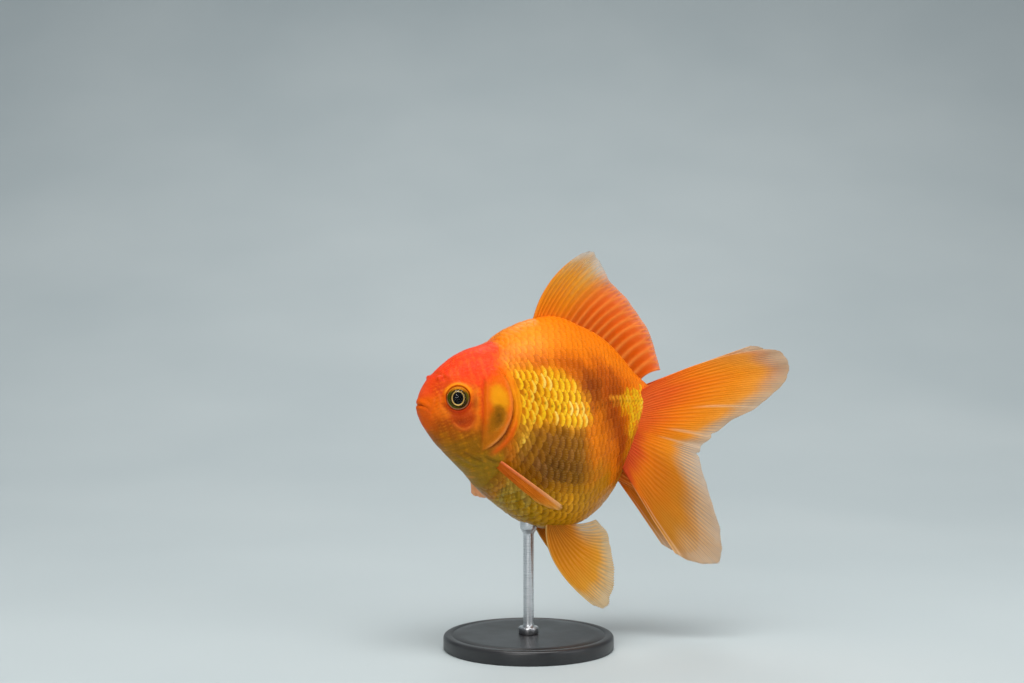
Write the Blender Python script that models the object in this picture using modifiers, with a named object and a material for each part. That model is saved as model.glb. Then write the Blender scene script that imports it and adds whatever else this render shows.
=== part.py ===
"""A fancy, double-tailed goldfish of the ryukin kind, swimming, held by a plain display stand.

Metres, +Z up. The origin is the middle of the stand's underside. The fish looks along -X, so its left side faces -Y.
The fish itself is laid out in millimetres in its own frame: s runs back from the tip of the snout, y to the fish's
right, and h up from the line of the mouth.
"""

import math

import bmesh
import bpy
import numpy as np

MM = 0.001

# Where the fish is held.
SNOUT_X = -51.3
MOUTH_Z = 103.5

# The stand.
BASE_RADIUS = 36.0
BASE_HEIGHT = 6.0
BASE_ROUNDING = 1.4
ROD_RADIUS = 2.2
COLLAR_RADIUS = 4.2
COLLAR_HEIGHT = 3.0
CUP_RADIUS = 3.6

# Gap between neighbours, and how finely the body is drawn.
GAP = 0.3
RINGS = 34
RING_POINTS = 30

# The body: each table is (s, value).
LENGTH = 108.0
TOP = ((0, 0.8), (0.3, 3.0), (1.2, 5.2), (2.6, 7.7), (5.5, 11.3), (9, 14.3), (13, 17.4), (17, 20.1), (23, 22.9),
       (28.8, 24.7), (33.4, 26.6), (37, 29.6), (41, 31.8), (47, 34.2), (53, 36.0), (61.7, 37.0), (67.2, 36.2),
       (75, 33.2), (82, 30.2), (88.5, 25.8), (94, 20.2), (98, 15.4), (102, 11.0), (108, 6.5))
BOTTOM = ((0, -0.6), (0.3, -3.2), (0.9, -5.0), (2.2, -7.8), (4.1, -10.4), (9.1, -16.3), (14.5, -21.8), (21.8, -28.5),
          (28.3, -35.7), (38.2, -43.8), (48.2, -50.2), (57.8, -53.3), (66, -53.6), (73, -52.0), (80.2, -48.8),
          (86, -44.3), (91, -38.2), (95, -30.8), (99, -22.8), (103, -15.8), (108, -10.0))
HALF_WIDTH = ((0, 0.6), (0.3, 2.0), (1.5, 3.8), (4, 6.4), (8, 9.6), (12, 12.2), (18, 15.6), (25, 19.0), (33, 21.6),
              (42, 24.6), (52, 26.6), (60, 27.0), (68, 25.8), (76, 22.6), (83, 18.0), (90, 12.4), (96, 8.2),
              (102, 5.0), (108, 2.6))
WIDEST = ((0, 0), (8, 0.5), (18, 0), (25, -2), (33, -5), (42, -9), (52, -13), (62, -15), (70, -14.5), (78, -12),
          (85, -8), (92, -4), (98, -2.5), (108, -3))
BACK_RIDGE = ((0, 1.0), (10, 0.86), (28, 0.95), (40, 1.12), (60, 1.2), (85, 1.25), (108, 1.0))
BELLY_KEEL = ((0, 1.0), (12, 0.95), (30, 1.0), (60, 0.95), (75, 1.0), (86, 1.25), (95, 1.3), (108, 1.0))
# The rear of the body and the tail swing to the fish's left, from here back.
SWAY_FROM = 62.0
SWAY = 8.0

# Lines that part the body, as (s, h) seen from the side.
GILL_LINE = ((33.5, 60), (33.4, 26), (30.5, 20), (28.7, 15), (31.6, 8.5), (33.6, 2), (33.7, -3), (31.9, -8),
             (27.5, -13), (22, -17.5), (18, -23), (15, -31), (12, -60))
GILL_COVER = ((21.2, 12.6), (25, 14.2), (28.3, 13.6), (31.2, 8), (33.1, 2), (33.2, -3), (31.4, -7.8), (27.2, -12.5),
              (22.4, -15.2), (20.8, -11), (20.4, 0))
GILL_COVER_DEPTH = 5.0
JAW = ((-9, 0.25), (1.5, 0.1), (4.2, -1.8), (6.5, -5.0), (9.5, -9.5), (12.0, -16), (12.5, -40), (-9, -40))
STALK_FROM = 90.0
STALK_LEAN = 3.0

# The eyes.
EYE_RADIUS = 5.0
EYE = (13.2, 10.6, 3.2)

# The flaps of the nostrils.
NOSTRIL = (7.4, 4.6, 11.2)
NOSTRIL_SIZE = (1.9, 1.1, 1.5)

# Fins. A ray is (root, middle, tip); the other rays lie between these.
DORSAL = (((53, 33.5), (61.5, 51.3), (78, 64.6)), ((56, 34), (67.5, 51.3), (82.6, 65.2)),
          ((62, 34), (73.2, 49.8), (86.0, 60.6)), ((69, 33), (79.4, 45.6), (89.8, 53.0)),
          ((76, 30), (86.4, 40.6), (96.2, 46.6)), ((83, 27), (92.4, 35.4), (101.6, 39.6)),
          ((89, 22.5), (97.5, 30.0), (105.8, 33.0)), ((94.5, 17.5), (101.8, 24.0), (108.6, 26.6)),
          ((99, 12.5), (105, 18.0), (110.4, 20.2)), ((103, 9.0), (107.2, 12.2), (112, 13.6)))
# The tail has two halves, each with an upper and a lower lobe. A half is drawn flat: (back from its hinge, up).
TAIL = (((-1.7, 6.9), (24, 17.6), (49, 22.8)), ((-2.2, 5.6), (28, 17.0), (55, 21.8)),
        ((-3.2, 3), (30.5, 13), (58.4, 17)), ((-4.2, -1), (31, 8), (57.6, 9.8)),
        ((-4.8, -4), (27, 2), (52.5, 4)), ((-6.5, -6.5), (22, -3.8), (44, -3.2)),
        ((-8.5, -8.6), (15, -9.5), (34, -8.4)), ((-10.5, -10.4), (8, -13.8), (24, -17)),
        ((-11.8, -12), (5.6, -16.5), (20.7, -20.2)), ((-12.6, -14.5), (4.6, -20.6), (20.9, -28.7)),
        ((-13.3, -17.5), (3.8, -27.6), (24.6, -42)), ((-13.8, -20.5), (2.6, -35), (28.4, -57.4)),
        ((-14.2, -23.5), (0.2, -40.8), (27.8, -69.4)), ((-14.6, -26.4), (-2.6, -44.4), (17.0, -70.0)),
        ((-15, -29.2), (-5.0, -44.6), (8.4, -65.8)))
# The ray that the fork lies on.
FORK = 8
TAIL_HINGE = (106.0, 0.0)
TAIL_SPREAD = 4.0
TAIL_TURN_LEFT, TAIL_TURN_RIGHT = 28.0, 12.0
TAIL_LEAN_LEFT, TAIL_LEAN_RIGHT = 3.0, 3.5
# On the right the lower lobe is less spread, by this many degrees at its front edge. The upper lobe is longer and taller
# by these parts, and its roots and middles lie this much further back and up.
TAIL_CLOSED_RIGHT = 4.0
TAIL_LONGER_RIGHT, TAIL_TALLER_RIGHT = 0.12, 0.07
TAIL_LOWER_RIGHT = ((0.0, -1.0), (1.4, -2.2))
TAIL_CURL = 2.6
ROOT_SLOPE = 0.25
# Pelvic fins: (s, h), standing out from the belly as they go down.
PELVIC = (((55.2, -50), (58.0, -67.4), (74.9, -85.9)), ((56.0, -50), (62.0, -69), (79.6, -87.1)),
          ((57, -50.4), (66.4, -68.4), (82.5, -84.2)), ((58, -50.4), (69.6, -66.2), (84.9, -77.4)),
          ((59.3, -50.4), (71.9, -62.8), (85.4, -68.5)), ((60.2, -50.5), (72.3, -58.7), (85, -61.2)),
          ((61.2, -50.2), (71.7, -54.9), (83.2, -54.6)), ((61.8, -49.4), (70.2, -51.3), (79.2, -49.7)))
PELVIC_OUT = 8.4
PELVIC_LEAN = 10.0
# The right one is folded back further.
PELVIC_RIGHT = (((57, -49), (67.0, -65.2), (84.5, -79.5)), ((58, -49), (70.0, -65.4), (88.0, -79.6)),
                ((59, -49.4), (73.0, -63.6), (90.0, -76.0)), ((60, -49.4), (75.0, -61.0), (91.4, -70.0)),
                ((61, -49.4), (75.6, -57.8), (90.6, -63.6)), ((62, -49.4), (74.5, -54.6), (87.4, -58.0)))
PELVIC_LEAN_RIGHT = -2.0
ANAL = (((91.5, -33.5), (99.5, -37.5), (108, -43.0)), ((93, -31.5), (101.5, -36.5), (111, -41.0)),
        ((94.5, -29), (103, -33.6), (112.5, -37.0)), ((96, -26), (103.5, -29.8), (112, -32.0)),
        ((97.5, -22.6), (103, -25.4), (109.5, -27.0)))
ANAL_OUT = 1.9
ANAL_LEAN = 2.0
# Pectoral fins: (s, out from the middle, h).
PECTORAL_LEFT = (((27.4, 17.5, -20.5), (37.8, 26.0, -30.3), (53.0, 26.6, -41.2)),
                 ((27.2, 17.3, -21.8), (37.6, 25.4, -32.0), (52.3, 25.8, -42.8)),
                 ((26.9, 17.0, -23.2), (36.2, 24.6, -33.0), (47.6, 25.0, -41.9)),
                 ((26.5, 16.6, -24.6), (34.5, 23.2, -32.2), (41.6, 24.0, -38.6)),
                 ((26.0, 16.2, -25.8), (32.5, 21.2, -30.8), (35.8, 22.8, -34.0)))
PECTORAL_RIGHT = (((27.4, 17.5, -20.5), (37.1, 27.6, -32.1), (40.9, 33.5, -41.0)),
                  ((27.2, 17.3, -21.8), (38.2, 27.0, -34.3), (42.5, 32.6, -42.2)),
                  ((26.9, 17.0, -23.2), (39.4, 25.8, -35.6), (45.0, 31.2, -42.7)),
                  ((26.5, 16.6, -24.6), (40.4, 24.2, -36.0), (47.5, 29.4, -42.9)),
                  ((26.0, 16.2, -25.8), (40.6, 22.4, -36.0), (50.1, 27.6, -42.1)))

FIN_ROOT, FIN_EDGE = 1.5, 0.6


# ---------------------------------------------------------------- helpers
def through(table, at):
    """Values of a table at the places asked for, along a smooth curve that never overshoots its points."""
    x, y = (np.array(column, float) for column in zip(*table))
    # The nose is blunt, so distances from it are taken as square roots.
    x, at = np.sqrt(x), np.sqrt(np.maximum(np.asarray(at, float), 0.0))
    step = np.diff(x)
    slope = np.diff(y) / step
    end = [slope[0]] + [0.0] * (len(x) - 2) + [slope[-1]]
    tangent = np.array(end)
    for i in range(1, len(x) - 1):
        if slope[i - 1] * slope[i] > 0:
            a, b = 2 * step[i] + step[i - 1], step[i] + 2 * step[i - 1]
            tangent[i] = (a + b) / (a / slope[i - 1] + b / slope[i])
    i = np.clip(np.searchsorted(x, at) - 1, 0, len(x) - 2)
    t = np.clip((at - x[i]) / step[i], 0.0, 1.0)
    return ((2 * t**3 - 3 * t**2 + 1) * y[i] + (t**3 - 2 * t**2 + t) * step[i] * tangent[i]
            + (3 * t**2 - 2 * t**3) * y[i + 1] + (t**3 - t**2) * step[i] * tangent[i + 1])


def sway(s):
    """How far the middle of the body has swung to the fish's left, at s."""
    return -SWAY * np.maximum(0.0, (np.asarray(s, float) - SWAY_FROM) / (LENGTH - SWAY_FROM)) ** 2


def section(s, points, grow=0.0):
    """One ring of the body at s: a rounded outline, with its own ridge above and keel below."""
    top, bottom = through(TOP, s) + grow, through(BOTTOM, s) - grow
    half, widest = through(HALF_WIDTH, s) + grow, through(WIDEST, s)
    ridge, keel = through(BACK_RIDGE, s), through(BELLY_KEEL, s)
    widest = min(max(widest, bottom + 0.3 * (top - bottom)), top - 0.3 * (top - bottom))
    ring = []
    for k in range(points):
        a = 2 * math.pi * (k + 0.5) / points
        c, d = math.cos(a), math.sin(a)
        power = ridge if d > 0 else keel
        y = float(sway(s)) + half * math.copysign(abs(c) ** power, c)
        h = widest + (top - widest if d > 0 else widest - bottom) * d
        ring.append((float(s), y, h))
    return ring


def placed(s, y, h):
    return ((SNOUT_X + s) * MM, y * MM, (MOUTH_Z + h) * MM)


def collection(name):
    found = bpy.data.collections.new(name)
    bpy.context.scene.collection.children.link(found)
    return found


def material(name, colour, roughness, metallic=0.0):
    made = bpy.data.materials.new(name)
    made.use_nodes = True
    shader = made.node_tree.nodes["Principled BSDF"]
    shader.inputs["Base Color"].default_value = (*colour, 1.0)
    shader.inputs["Roughness"].default_value = roughness
    shader.inputs["Metallic"].default_value = metallic
    return made


def keep(name, bm, look=None, helper=False):
    """The bmesh as a named object, in the fish's collection, or among the cutters."""
    bmesh.ops.recalc_face_normals(bm, faces=bm.faces)
    mesh = bpy.data.meshes.new(name)
    bm.to_mesh(mesh)
    bm.free()
    obj = bpy.data.objects.new(name, mesh)
    (CUTTERS if helper else PARTS).objects.link(obj)
    if helper:
        obj.hide_render = True
        obj.display_type = "WIRE"
    else:
        mesh.shade_smooth()
        mesh.set_sharp_from_angle(angle=math.radians(40))
    if look:
        mesh.materials.append(look)
    return obj


def boolean(obj, cutter, operation):
    modifier = obj.modifiers.new(cutter.name, "BOOLEAN")
    modifier.operation = operation
    modifier.solver = "EXACT"
    modifier.object = cutter


def body_mesh(grow=0.0):
    """The whole body as one closed loft from snout to tail root."""
    bm = bmesh.new()
    along = LENGTH * (np.linspace(0.0, 1.0, RINGS) ** 1.45)
    along[0] = 0.0
    rings = []
    for i, s in enumerate(along):
        ring = section(s, RING_POINTS, grow)
        shift = -grow if i == 0 else grow if i == len(along) - 1 else 0.0
        rings.append([bm.verts.new(placed(p[0] + shift, p[1], p[2])) for p in ring])
    for first, second in zip(rings, rings[1:]):
        for k in range(RING_POINTS):
            n = (k + 1) % RING_POINTS
            bm.faces.new((first[k], first[n], second[n], second[k]))
    bm.faces.new(rings[0])
    bm.faces.new(rings[-1])
    return bm


def offset_outline(outline, grow):
    """A closed outline moved outwards by grow."""
    points = np.array(outline, float)
    area = sum(points[i - 1][0] * points[i][1] - points[i][0] * points[i - 1][1] for i in range(len(points)))
    out = []
    for i in range(len(points)):
        before, here, after = points[i - 1], points[i], points[(i + 1) % len(points)]
        a, b = here - before, after - here
        a, b = a / np.linalg.norm(a), b / np.linalg.norm(b)
        normal = np.array([a[1] + b[1], -a[0] - b[0]])
        normal /= max(np.linalg.norm(normal), 1e-9)
        stretch = 1.0 / max(0.4, normal @ np.array([a[1], -a[0]]))
        out.append(here + normal * grow * stretch * (1 if area > 0 else -1))
    return [tuple(p) for p in out]


def prism(name, outline, y0, y1, grow=0.0):
    """A block with an (s, h) outline, from y0 to y1."""
    bm = bmesh.new()
    outline = offset_outline(outline, grow) if grow else outline
    face = bm.faces.new([bm.verts.new(placed(s, y0, h)) for s, h in outline])
    moved = bmesh.ops.extrude_face_region(bm, geom=[face])["geom"]
    bmesh.ops.translate(bm, vec=(0, (y1 - y0) * MM, 0), verts=[v for v in moved if isinstance(v, bmesh.types.BMVert)])
    bmesh.ops.triangulate(bm, faces=[f for f in bm.faces if len(f.verts) > 4])
    return keep(name, bm, helper=True)


def fan(rays, count, steps):
    """A grid of points over a fin, ray by ray, from root to tip."""
    rays = np.array(rays, float)
    knots = np.arange(len(rays))
    grid = []
    for place in np.linspace(0, len(rays) - 1, count):
        i = min(int(place), len(rays) - 2)
        t = place - i
        p0, p1, p2, p3 = (rays[k] for k in (max(i - 1, 0), i, i + 1, min(i + 2, knots[-1])))
        root, middle, tip = 0.5 * (2 * p1 + (p2 - p0) * t + (2 * p0 - 5 * p1 + 4 * p2 - p3) * t**2
                                   + (3 * p1 - p0 - 3 * p2 + p3) * t**3)
        bend = 2 * middle - 0.5 * (root + tip)
        grid.append([(1 - u) ** 2 * root + 2 * u * (1 - u) * bend + u * u * tip for u in np.linspace(0, 1, steps)])
    return np.array(grid)


def fin(name, grid, place, look, flip=False):
    """A fin: an open surface over its rays, given thickness, and trimmed where it meets the body."""
    count, steps = grid.shape[:2]
    bm = bmesh.new()
    verts = [[bm.verts.new(placed(*place(*grid[i, j]))) for j in range(steps)] for i in range(count)]
    for i in range(count - 1):
        for j in range(steps - 1):
            bm.faces.new((verts[i][j], verts[i + 1][j], verts[i + 1][j + 1], verts[i][j + 1]))
    obj = keep(name, bm, look)
    group = obj.vertex_groups.new(name="thickness")
    for i in range(count):
        for j in range(steps):
            group.add([i * steps + j], (1 - j / (steps - 1)) ** 1.5, "REPLACE")
    solid = obj.modifiers.new("thickness", "SOLIDIFY")
    solid.thickness = FIN_ROOT * MM
    solid.offset = 0.0
    solid.vertex_group = "thickness"
    solid.thickness_vertex_group = FIN_EDGE / FIN_ROOT
    solid.use_rim = True
    boolean(obj, BODY_CUTTER, "DIFFERENCE")
    return obj


# ---------------------------------------------------------------- start
for old in list(bpy.data.objects):
    bpy.data.objects.remove(old, do_unlink=True)
PARTS = collection("goldfish")
CUTTERS = collection("cutters")

RED = material("head_red_orange", (0.86, 0.10, 0.03), 0.35)
ORANGE = material("body_orange", (0.88, 0.30, 0.03), 0.35)
GOLD = material("flank_gold", (0.85, 0.50, 0.06), 0.3, 0.4)
FIN = material("fin_orange", (0.85, 0.25, 0.03), 0.4)
EYE_LOOK = material("eye", (0.03, 0.03, 0.02), 0.1)
BLACK = material("stand_black", (0.02, 0.02, 0.022), 0.4)
STEEL = material("stand_steel", (0.6, 0.6, 0.6), 0.3, 1.0)

BODY_CUTTER = keep("body_with_gap", body_mesh(GAP), helper=True)

# ---------------------------------------------------------------- the body, parted
FAR = 70.0
half_gap = GAP / 2
gill = list(GILL_LINE)
head_side = [(s - half_gap, h) for s, h in gill]
trunk_side = [(s + half_gap, h) for s, h in gill]
stalk_top, stalk_foot = (STALK_FROM + STALK_LEAN, 60.0), (STALK_FROM - STALK_LEAN, -60.0)
HEAD_BLOCK = prism("head_block", [(-20, 60)] + head_side + [(-20, -60)], -FAR, FAR)
TRUNK_BLOCK = prism("trunk_block", trunk_side + [(stalk_foot[0] - half_gap, -60), (stalk_top[0] - half_gap, 60)],
                    -FAR, FAR)
STALK_BLOCK = prism("stalk_block", [(stalk_top[0] + half_gap, 60), (stalk_foot[0] + half_gap, -60), (130, -60),
                                    (130, 60)], -FAR, FAR)
JAW_BLOCK = prism("jaw_block", JAW, -FAR, FAR)
JAW_SPACE = prism("jaw_space", JAW, -FAR - 1, FAR + 1, GAP)

inner = float(through(HALF_WIDTH, 27.0)) - GILL_COVER_DEPTH
COVER = {}
for side, sign in (("left", -1), ("right", 1)):
    block = prism("gill_cover_block_" + side, GILL_COVER, sign * inner, sign * FAR)
    space = prism("gill_cover_space_" + side, GILL_COVER, sign * (inner - GAP), sign * (FAR + 1), GAP)
    COVER[side] = (block, space)

EYES = {}
for side, sign in (("left", -1), ("right", 1)):
    centre = placed(EYE[0], sign * EYE[1], EYE[2])
    for helper, radius in ((True, EYE_RADIUS + GAP), (False, EYE_RADIUS)):
        bm = bmesh.new()
        bmesh.ops.create_uvsphere(bm, u_segments=18, v_segments=10, radius=radius * MM)
        # The poles of the sphere look out of the head.
        for v in bm.verts:
            v.co = (v.co.x, -v.co.z, v.co.y)
        bmesh.ops.translate(bm, vec=centre, verts=bm.verts)
        made = keep(("eye_space_" if helper else "eye_") + side, bm, EYE_LOOK, helper)
        if helper:
            EYES[side] = made

head = keep("head", body_mesh(), RED)
boolean(head, HEAD_BLOCK, "INTERSECT")
boolean(head, JAW_SPACE, "DIFFERENCE")
jaw = keep("lower_jaw", body_mesh(), ORANGE)
boolean(jaw, JAW_BLOCK, "INTERSECT")
for side in ("left", "right"):
    boolean(head, COVER[side][1], "DIFFERENCE")
    boolean(head, EYES[side], "DIFFERENCE")
    cover = keep("gill_cover_" + side, body_mesh(), ORANGE)
    boolean(cover, COVER[side][0], "INTERSECT")
trunk = keep("trunk", body_mesh(), GOLD)
boolean(trunk, TRUNK_BLOCK, "INTERSECT")
stalk = keep("tail_stalk", body_mesh(), GOLD)
boolean(stalk, STALK_BLOCK, "INTERSECT")

for side, sign in (("left", -1), ("right", 1)):
    bm = bmesh.new()
    bmesh.ops.create_uvsphere(bm, u_segments=10, v_segments=6, radius=1.0)
    for v in bm.verts:
        v.co = (v.co.x * NOSTRIL_SIZE[0] * MM, v.co.y * NOSTRIL_SIZE[1] * MM, v.co.z * NOSTRIL_SIZE[2] * MM)
    bmesh.ops.translate(bm, vec=placed(NOSTRIL[0], sign * NOSTRIL[1], NOSTRIL[2]), verts=bm.verts)
    flap = keep("nostril_" + side, bm, RED)
    boolean(flap, BODY_CUTTER, "DIFFERENCE")

# ---------------------------------------------------------------- the fins
fin("fin_dorsal", fan(DORSAL, 19, 8), lambda s, h: (s, float(sway(s)), h), FIN)


def tail_place(sign, turn, lean):
    """Puts a flat half of the tail at its hinge, turned out to its side, leaning, and curling outwards."""
    cos_t, sin_t = math.cos(math.radians(turn)), math.sin(math.radians(turn))
    slant = math.tan(math.radians(lean))

    def place(r, q):
        back = max(r, 0.0)
        s = TAIL_HINGE[0] + cos_t * r
        y = float(sway(TAIL_HINGE[0])) - sin_t * back - ROOT_SLOPE * min(r, 0.0)
        y += sign * (TAIL_SPREAD + slant * max(0.0, -q) + TAIL_CURL * (back / 60.0) ** 2)
        return (s, y, TAIL_HINGE[1] + q)

    return place


def other_half(rays):
    """The right half's rays: the lower lobe less spread, and the upper one larger."""
    rays = np.array(rays, float)
    about = rays[FORK][0].copy()
    for k in range(len(rays)):
        if k > FORK:
            a = math.radians(TAIL_CLOSED_RIGHT) * (k - FORK) / (len(rays) - 1 - FORK)
            rays[k] = about + (rays[k] - about) @ np.array([[math.cos(a), math.sin(a)], [-math.sin(a), math.cos(a)]])
        else:
            up = 1 - k / FORK
            rays[k][:2] += np.array(TAIL_LOWER_RIGHT) * up
            rays[k][2] *= (1 + TAIL_LONGER_RIGHT * up, 1 + TAIL_TALLER_RIGHT * up)
    return rays


fin("fin_tail_left", fan(TAIL, 22, 9), tail_place(-1, TAIL_TURN_LEFT, TAIL_LEAN_LEFT), FIN)
fin("fin_tail_right", fan(other_half(TAIL), 22, 9), tail_place(1, TAIL_TURN_RIGHT, TAIL_LEAN_RIGHT), FIN)


def leaning(sign, out, lean, from_h):
    """Puts a flat fin beside the middle plane, standing further out the lower it gets."""
    slant = math.tan(math.radians(lean))
    return lambda s, h: (s, float(sway(s)) + sign * (out + slant * (from_h - h)), h)


fin("fin_pelvic_left", fan(PELVIC, 11, 8), leaning(-1, PELVIC_OUT, PELVIC_LEAN, -50.0), FIN)
fin("fin_pelvic_right", fan(PELVIC_RIGHT, 10, 8), leaning(1, PELVIC_OUT, PELVIC_LEAN_RIGHT, -50.0), FIN)
for side, sign in (("left", -1), ("right", 1)):
    fin("fin_anal_" + side, fan(ANAL, 8, 6), leaning(sign, ANAL_OUT, ANAL_LEAN, -30.0), FIN)
fin("fin_pectoral_left", fan(PECTORAL_LEFT, 9, 7), lambda s, y, h: (s, -y, h), FIN)
fin("fin_pectoral_right", fan(PECTORAL_RIGHT, 9, 7), lambda s, y, h: (s, y, h), FIN)

# ---------------------------------------------------------------- the stand
bm = bmesh.new()
bmesh.ops.create_cone(bm, cap_ends=True, segments=44, radius1=BASE_RADIUS * MM, radius2=BASE_RADIUS * MM,
                      depth=BASE_HEIGHT * MM)
bmesh.ops.translate(bm, vec=(0, 0, BASE_HEIGHT / 2 * MM), verts=bm.verts)
base = keep("stand_base", bm, BLACK)
rounding = base.modifiers.new("rounding", "BEVEL")
rounding.width = BASE_ROUNDING * MM
rounding.segments = 2
rounding.limit_method = "ANGLE"

belly = MOUTH_Z + float(through(BOTTOM, -SNOUT_X))
foot = BASE_HEIGHT + GAP
profile = ((0.0, belly + 3), (CUP_RADIUS, belly + 3), (CUP_RADIUS, belly - 1.2), (ROD_RADIUS, belly - 4.0),
           (ROD_RADIUS, foot + COLLAR_HEIGHT + 0.8), (COLLAR_RADIUS, foot + COLLAR_HEIGHT), (COLLAR_RADIUS, foot),
           (0.0, foot))
bm = bmesh.new()
line = [bm.verts.new((r * MM, 0, z * MM)) for r, z in profile]
for first, second in zip(line, line[1:]):
    bm.edges.new((first, second))
mesh = bpy.data.meshes.new("stand_rod")
bm.to_mesh(mesh)
bm.free()
rod = bpy.data.objects.new("stand_rod", mesh)
PARTS.objects.link(rod)
mesh.materials.append(STEEL)
turn = rod.modifiers.new("turn", "SCREW")
turn.steps = turn.render_steps = 20
turn.use_merge_vertices = True
turn.merge_threshold = 0.00001
boolean(rod, BODY_CUTTER, "DIFFERENCE")
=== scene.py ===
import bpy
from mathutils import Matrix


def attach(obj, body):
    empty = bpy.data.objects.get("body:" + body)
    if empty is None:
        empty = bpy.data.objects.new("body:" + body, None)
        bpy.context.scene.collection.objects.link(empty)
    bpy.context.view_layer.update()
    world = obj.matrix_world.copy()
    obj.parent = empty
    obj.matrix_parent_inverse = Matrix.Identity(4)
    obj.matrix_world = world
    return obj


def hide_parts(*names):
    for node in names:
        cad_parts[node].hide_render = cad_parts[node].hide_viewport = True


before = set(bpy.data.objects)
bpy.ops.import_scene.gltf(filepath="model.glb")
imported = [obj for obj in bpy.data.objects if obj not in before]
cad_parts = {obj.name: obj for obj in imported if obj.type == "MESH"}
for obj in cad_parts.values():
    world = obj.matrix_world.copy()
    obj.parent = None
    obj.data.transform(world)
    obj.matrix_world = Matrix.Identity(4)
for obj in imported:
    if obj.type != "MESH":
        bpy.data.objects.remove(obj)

"""The finish of the goldfish: one skin with its scales, finished eyes and rayed fins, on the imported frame.

The fish is laid out in millimetres in its own frame: s runs back from the tip of the snout, y to the fish's right,
and h up from the line of the mouth. placed() turns that into the frame's metres.
"""
import math

import bpy
import numpy as np

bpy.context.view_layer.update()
RNG = np.random.default_rng(11)
MM = 0.001

# ---------------------------------------------------------------- the fish's measurements, as in the frame
SNOUT_X, MOUTH_Z = -51.3, 103.5
LENGTH = 108.0
TOP = ((0, 0.8), (0.3, 3.0), (1.2, 5.2), (2.6, 7.7), (5.5, 11.3), (9, 14.3), (13, 17.4), (17, 20.1), (23, 22.9),
       (28.8, 24.7), (33.4, 26.6), (37, 29.6), (41, 31.8), (47, 34.2), (53, 36.0), (61.7, 37.0), (67.2, 36.2),
       (75, 33.2), (82, 30.2), (88.5, 25.8), (94, 20.2), (98, 15.4), (102, 11.0), (108, 6.5))
BOTTOM = ((0, -0.6), (0.3, -3.2), (0.9, -5.0), (2.2, -7.8), (4.1, -10.4), (9.1, -16.3), (14.5, -21.8), (21.8, -28.5),
          (28.3, -35.7), (38.2, -43.8), (48.2, -50.2), (57.8, -53.3), (66, -53.6), (73, -52.0), (80.2, -48.8),
          (86, -44.3), (91, -38.2), (95, -30.8), (99, -22.8), (103, -15.8), (108, -10.0))
HALF_WIDTH = ((0, 0.6), (0.3, 2.0), (1.5, 3.8), (4, 6.4), (8, 9.6), (12, 12.2), (18, 15.6), (25, 19.0), (33, 21.6),
              (42, 24.6), (52, 26.6), (60, 27.0), (68, 25.8), (76, 22.6), (83, 18.0), (90, 12.4), (96, 8.2),
              (102, 5.0), (108, 2.6))
WIDEST = ((0, 0), (8, 0.5), (18, 0), (25, -2), (33, -5), (42, -9), (52, -13), (62, -15), (70, -14.5), (78, -12),
          (85, -8), (92, -4), (98, -2.5), (108, -3))
BACK_RIDGE = ((0, 1.0), (10, 0.86), (28, 0.95), (40, 1.12), (60, 1.2), (85, 1.25), (108, 1.0))
BELLY_KEEL = ((0, 1.0), (12, 0.95), (30, 1.0), (60, 0.95), (75, 1.0), (86, 1.25), (95, 1.3), (108, 1.0))
SWAY_FROM, SWAY = 62.0, 8.0

EYE_RADIUS = 5.0
EYE = (13.2, 10.6, 3.2)
EYE_AXIS = (-0.47, 0.88, 0.03)

# Fins. A ray is (root, middle, tip); the other rays lie between these.
DORSAL = (((53, 33.5), (61.5, 51.3), (78, 64.6)), ((56, 34), (67.5, 51.3), (82.6, 65.2)),
          ((62, 34), (73.2, 49.8), (86.0, 60.6)), ((69, 33), (79.4, 45.6), (89.8, 53.0)),
          ((76, 30), (86.4, 40.6), (96.2, 46.6)), ((83, 27), (92.4, 35.4), (101.6, 39.6)),
          ((89, 22.5), (97.5, 30.0), (105.8, 33.0)), ((94.5, 17.5), (101.8, 24.0), (108.6, 26.6)),
          ((99, 12.5), (105, 18.0), (110.4, 20.2)), ((103, 9.0), (107.2, 12.2), (112, 13.6)))
TAIL = (((-1.7, 6.9), (24, 17.6), (49, 22.8)), ((-2.2, 5.6), (28, 17.0), (55, 21.8)),
        ((-3.2, 3), (30.5, 13), (58.4, 17)), ((-4.2, -1), (31, 8), (57.6, 9.8)),
        ((-4.8, -4), (27, 2), (52.5, 4)), ((-6.5, -6.5), (22, -3.8), (44, -3.2)),
        ((-8.5, -8.6), (15, -9.5), (34, -8.4)), ((-10.5, -10.4), (8, -13.8), (24, -17)),
        ((-11.8, -12), (5.6, -16.5), (20.7, -20.2)), ((-12.6, -14.5), (4.6, -20.6), (20.9, -28.7)),
        ((-13.3, -17.5), (3.8, -27.6), (24.6, -42)), ((-13.8, -20.5), (2.6, -35), (28.4, -57.4)),
        ((-14.2, -23.5), (0.2, -40.8), (27.8, -69.4)), ((-14.6, -26.4), (-2.6, -44.4), (17.0, -70.0)),
        ((-15, -29.2), (-5.0, -44.6), (8.4, -65.8)))
FORK = 8
TAIL_HINGE = (106.0, 0.0)
TAIL_SPREAD = 4.0
TAIL_TURN_LEFT, TAIL_TURN_RIGHT = 28.0, 12.0
TAIL_LEAN_LEFT, TAIL_LEAN_RIGHT = 3.0, 3.5
TAIL_CLOSED_RIGHT = 4.0
TAIL_LONGER_RIGHT, TAIL_TALLER_RIGHT = 0.12, 0.07
TAIL_LOWER_RIGHT = ((0.0, -1.0), (1.4, -2.2))
TAIL_CURL, ROOT_SLOPE = 2.6, 0.25
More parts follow.
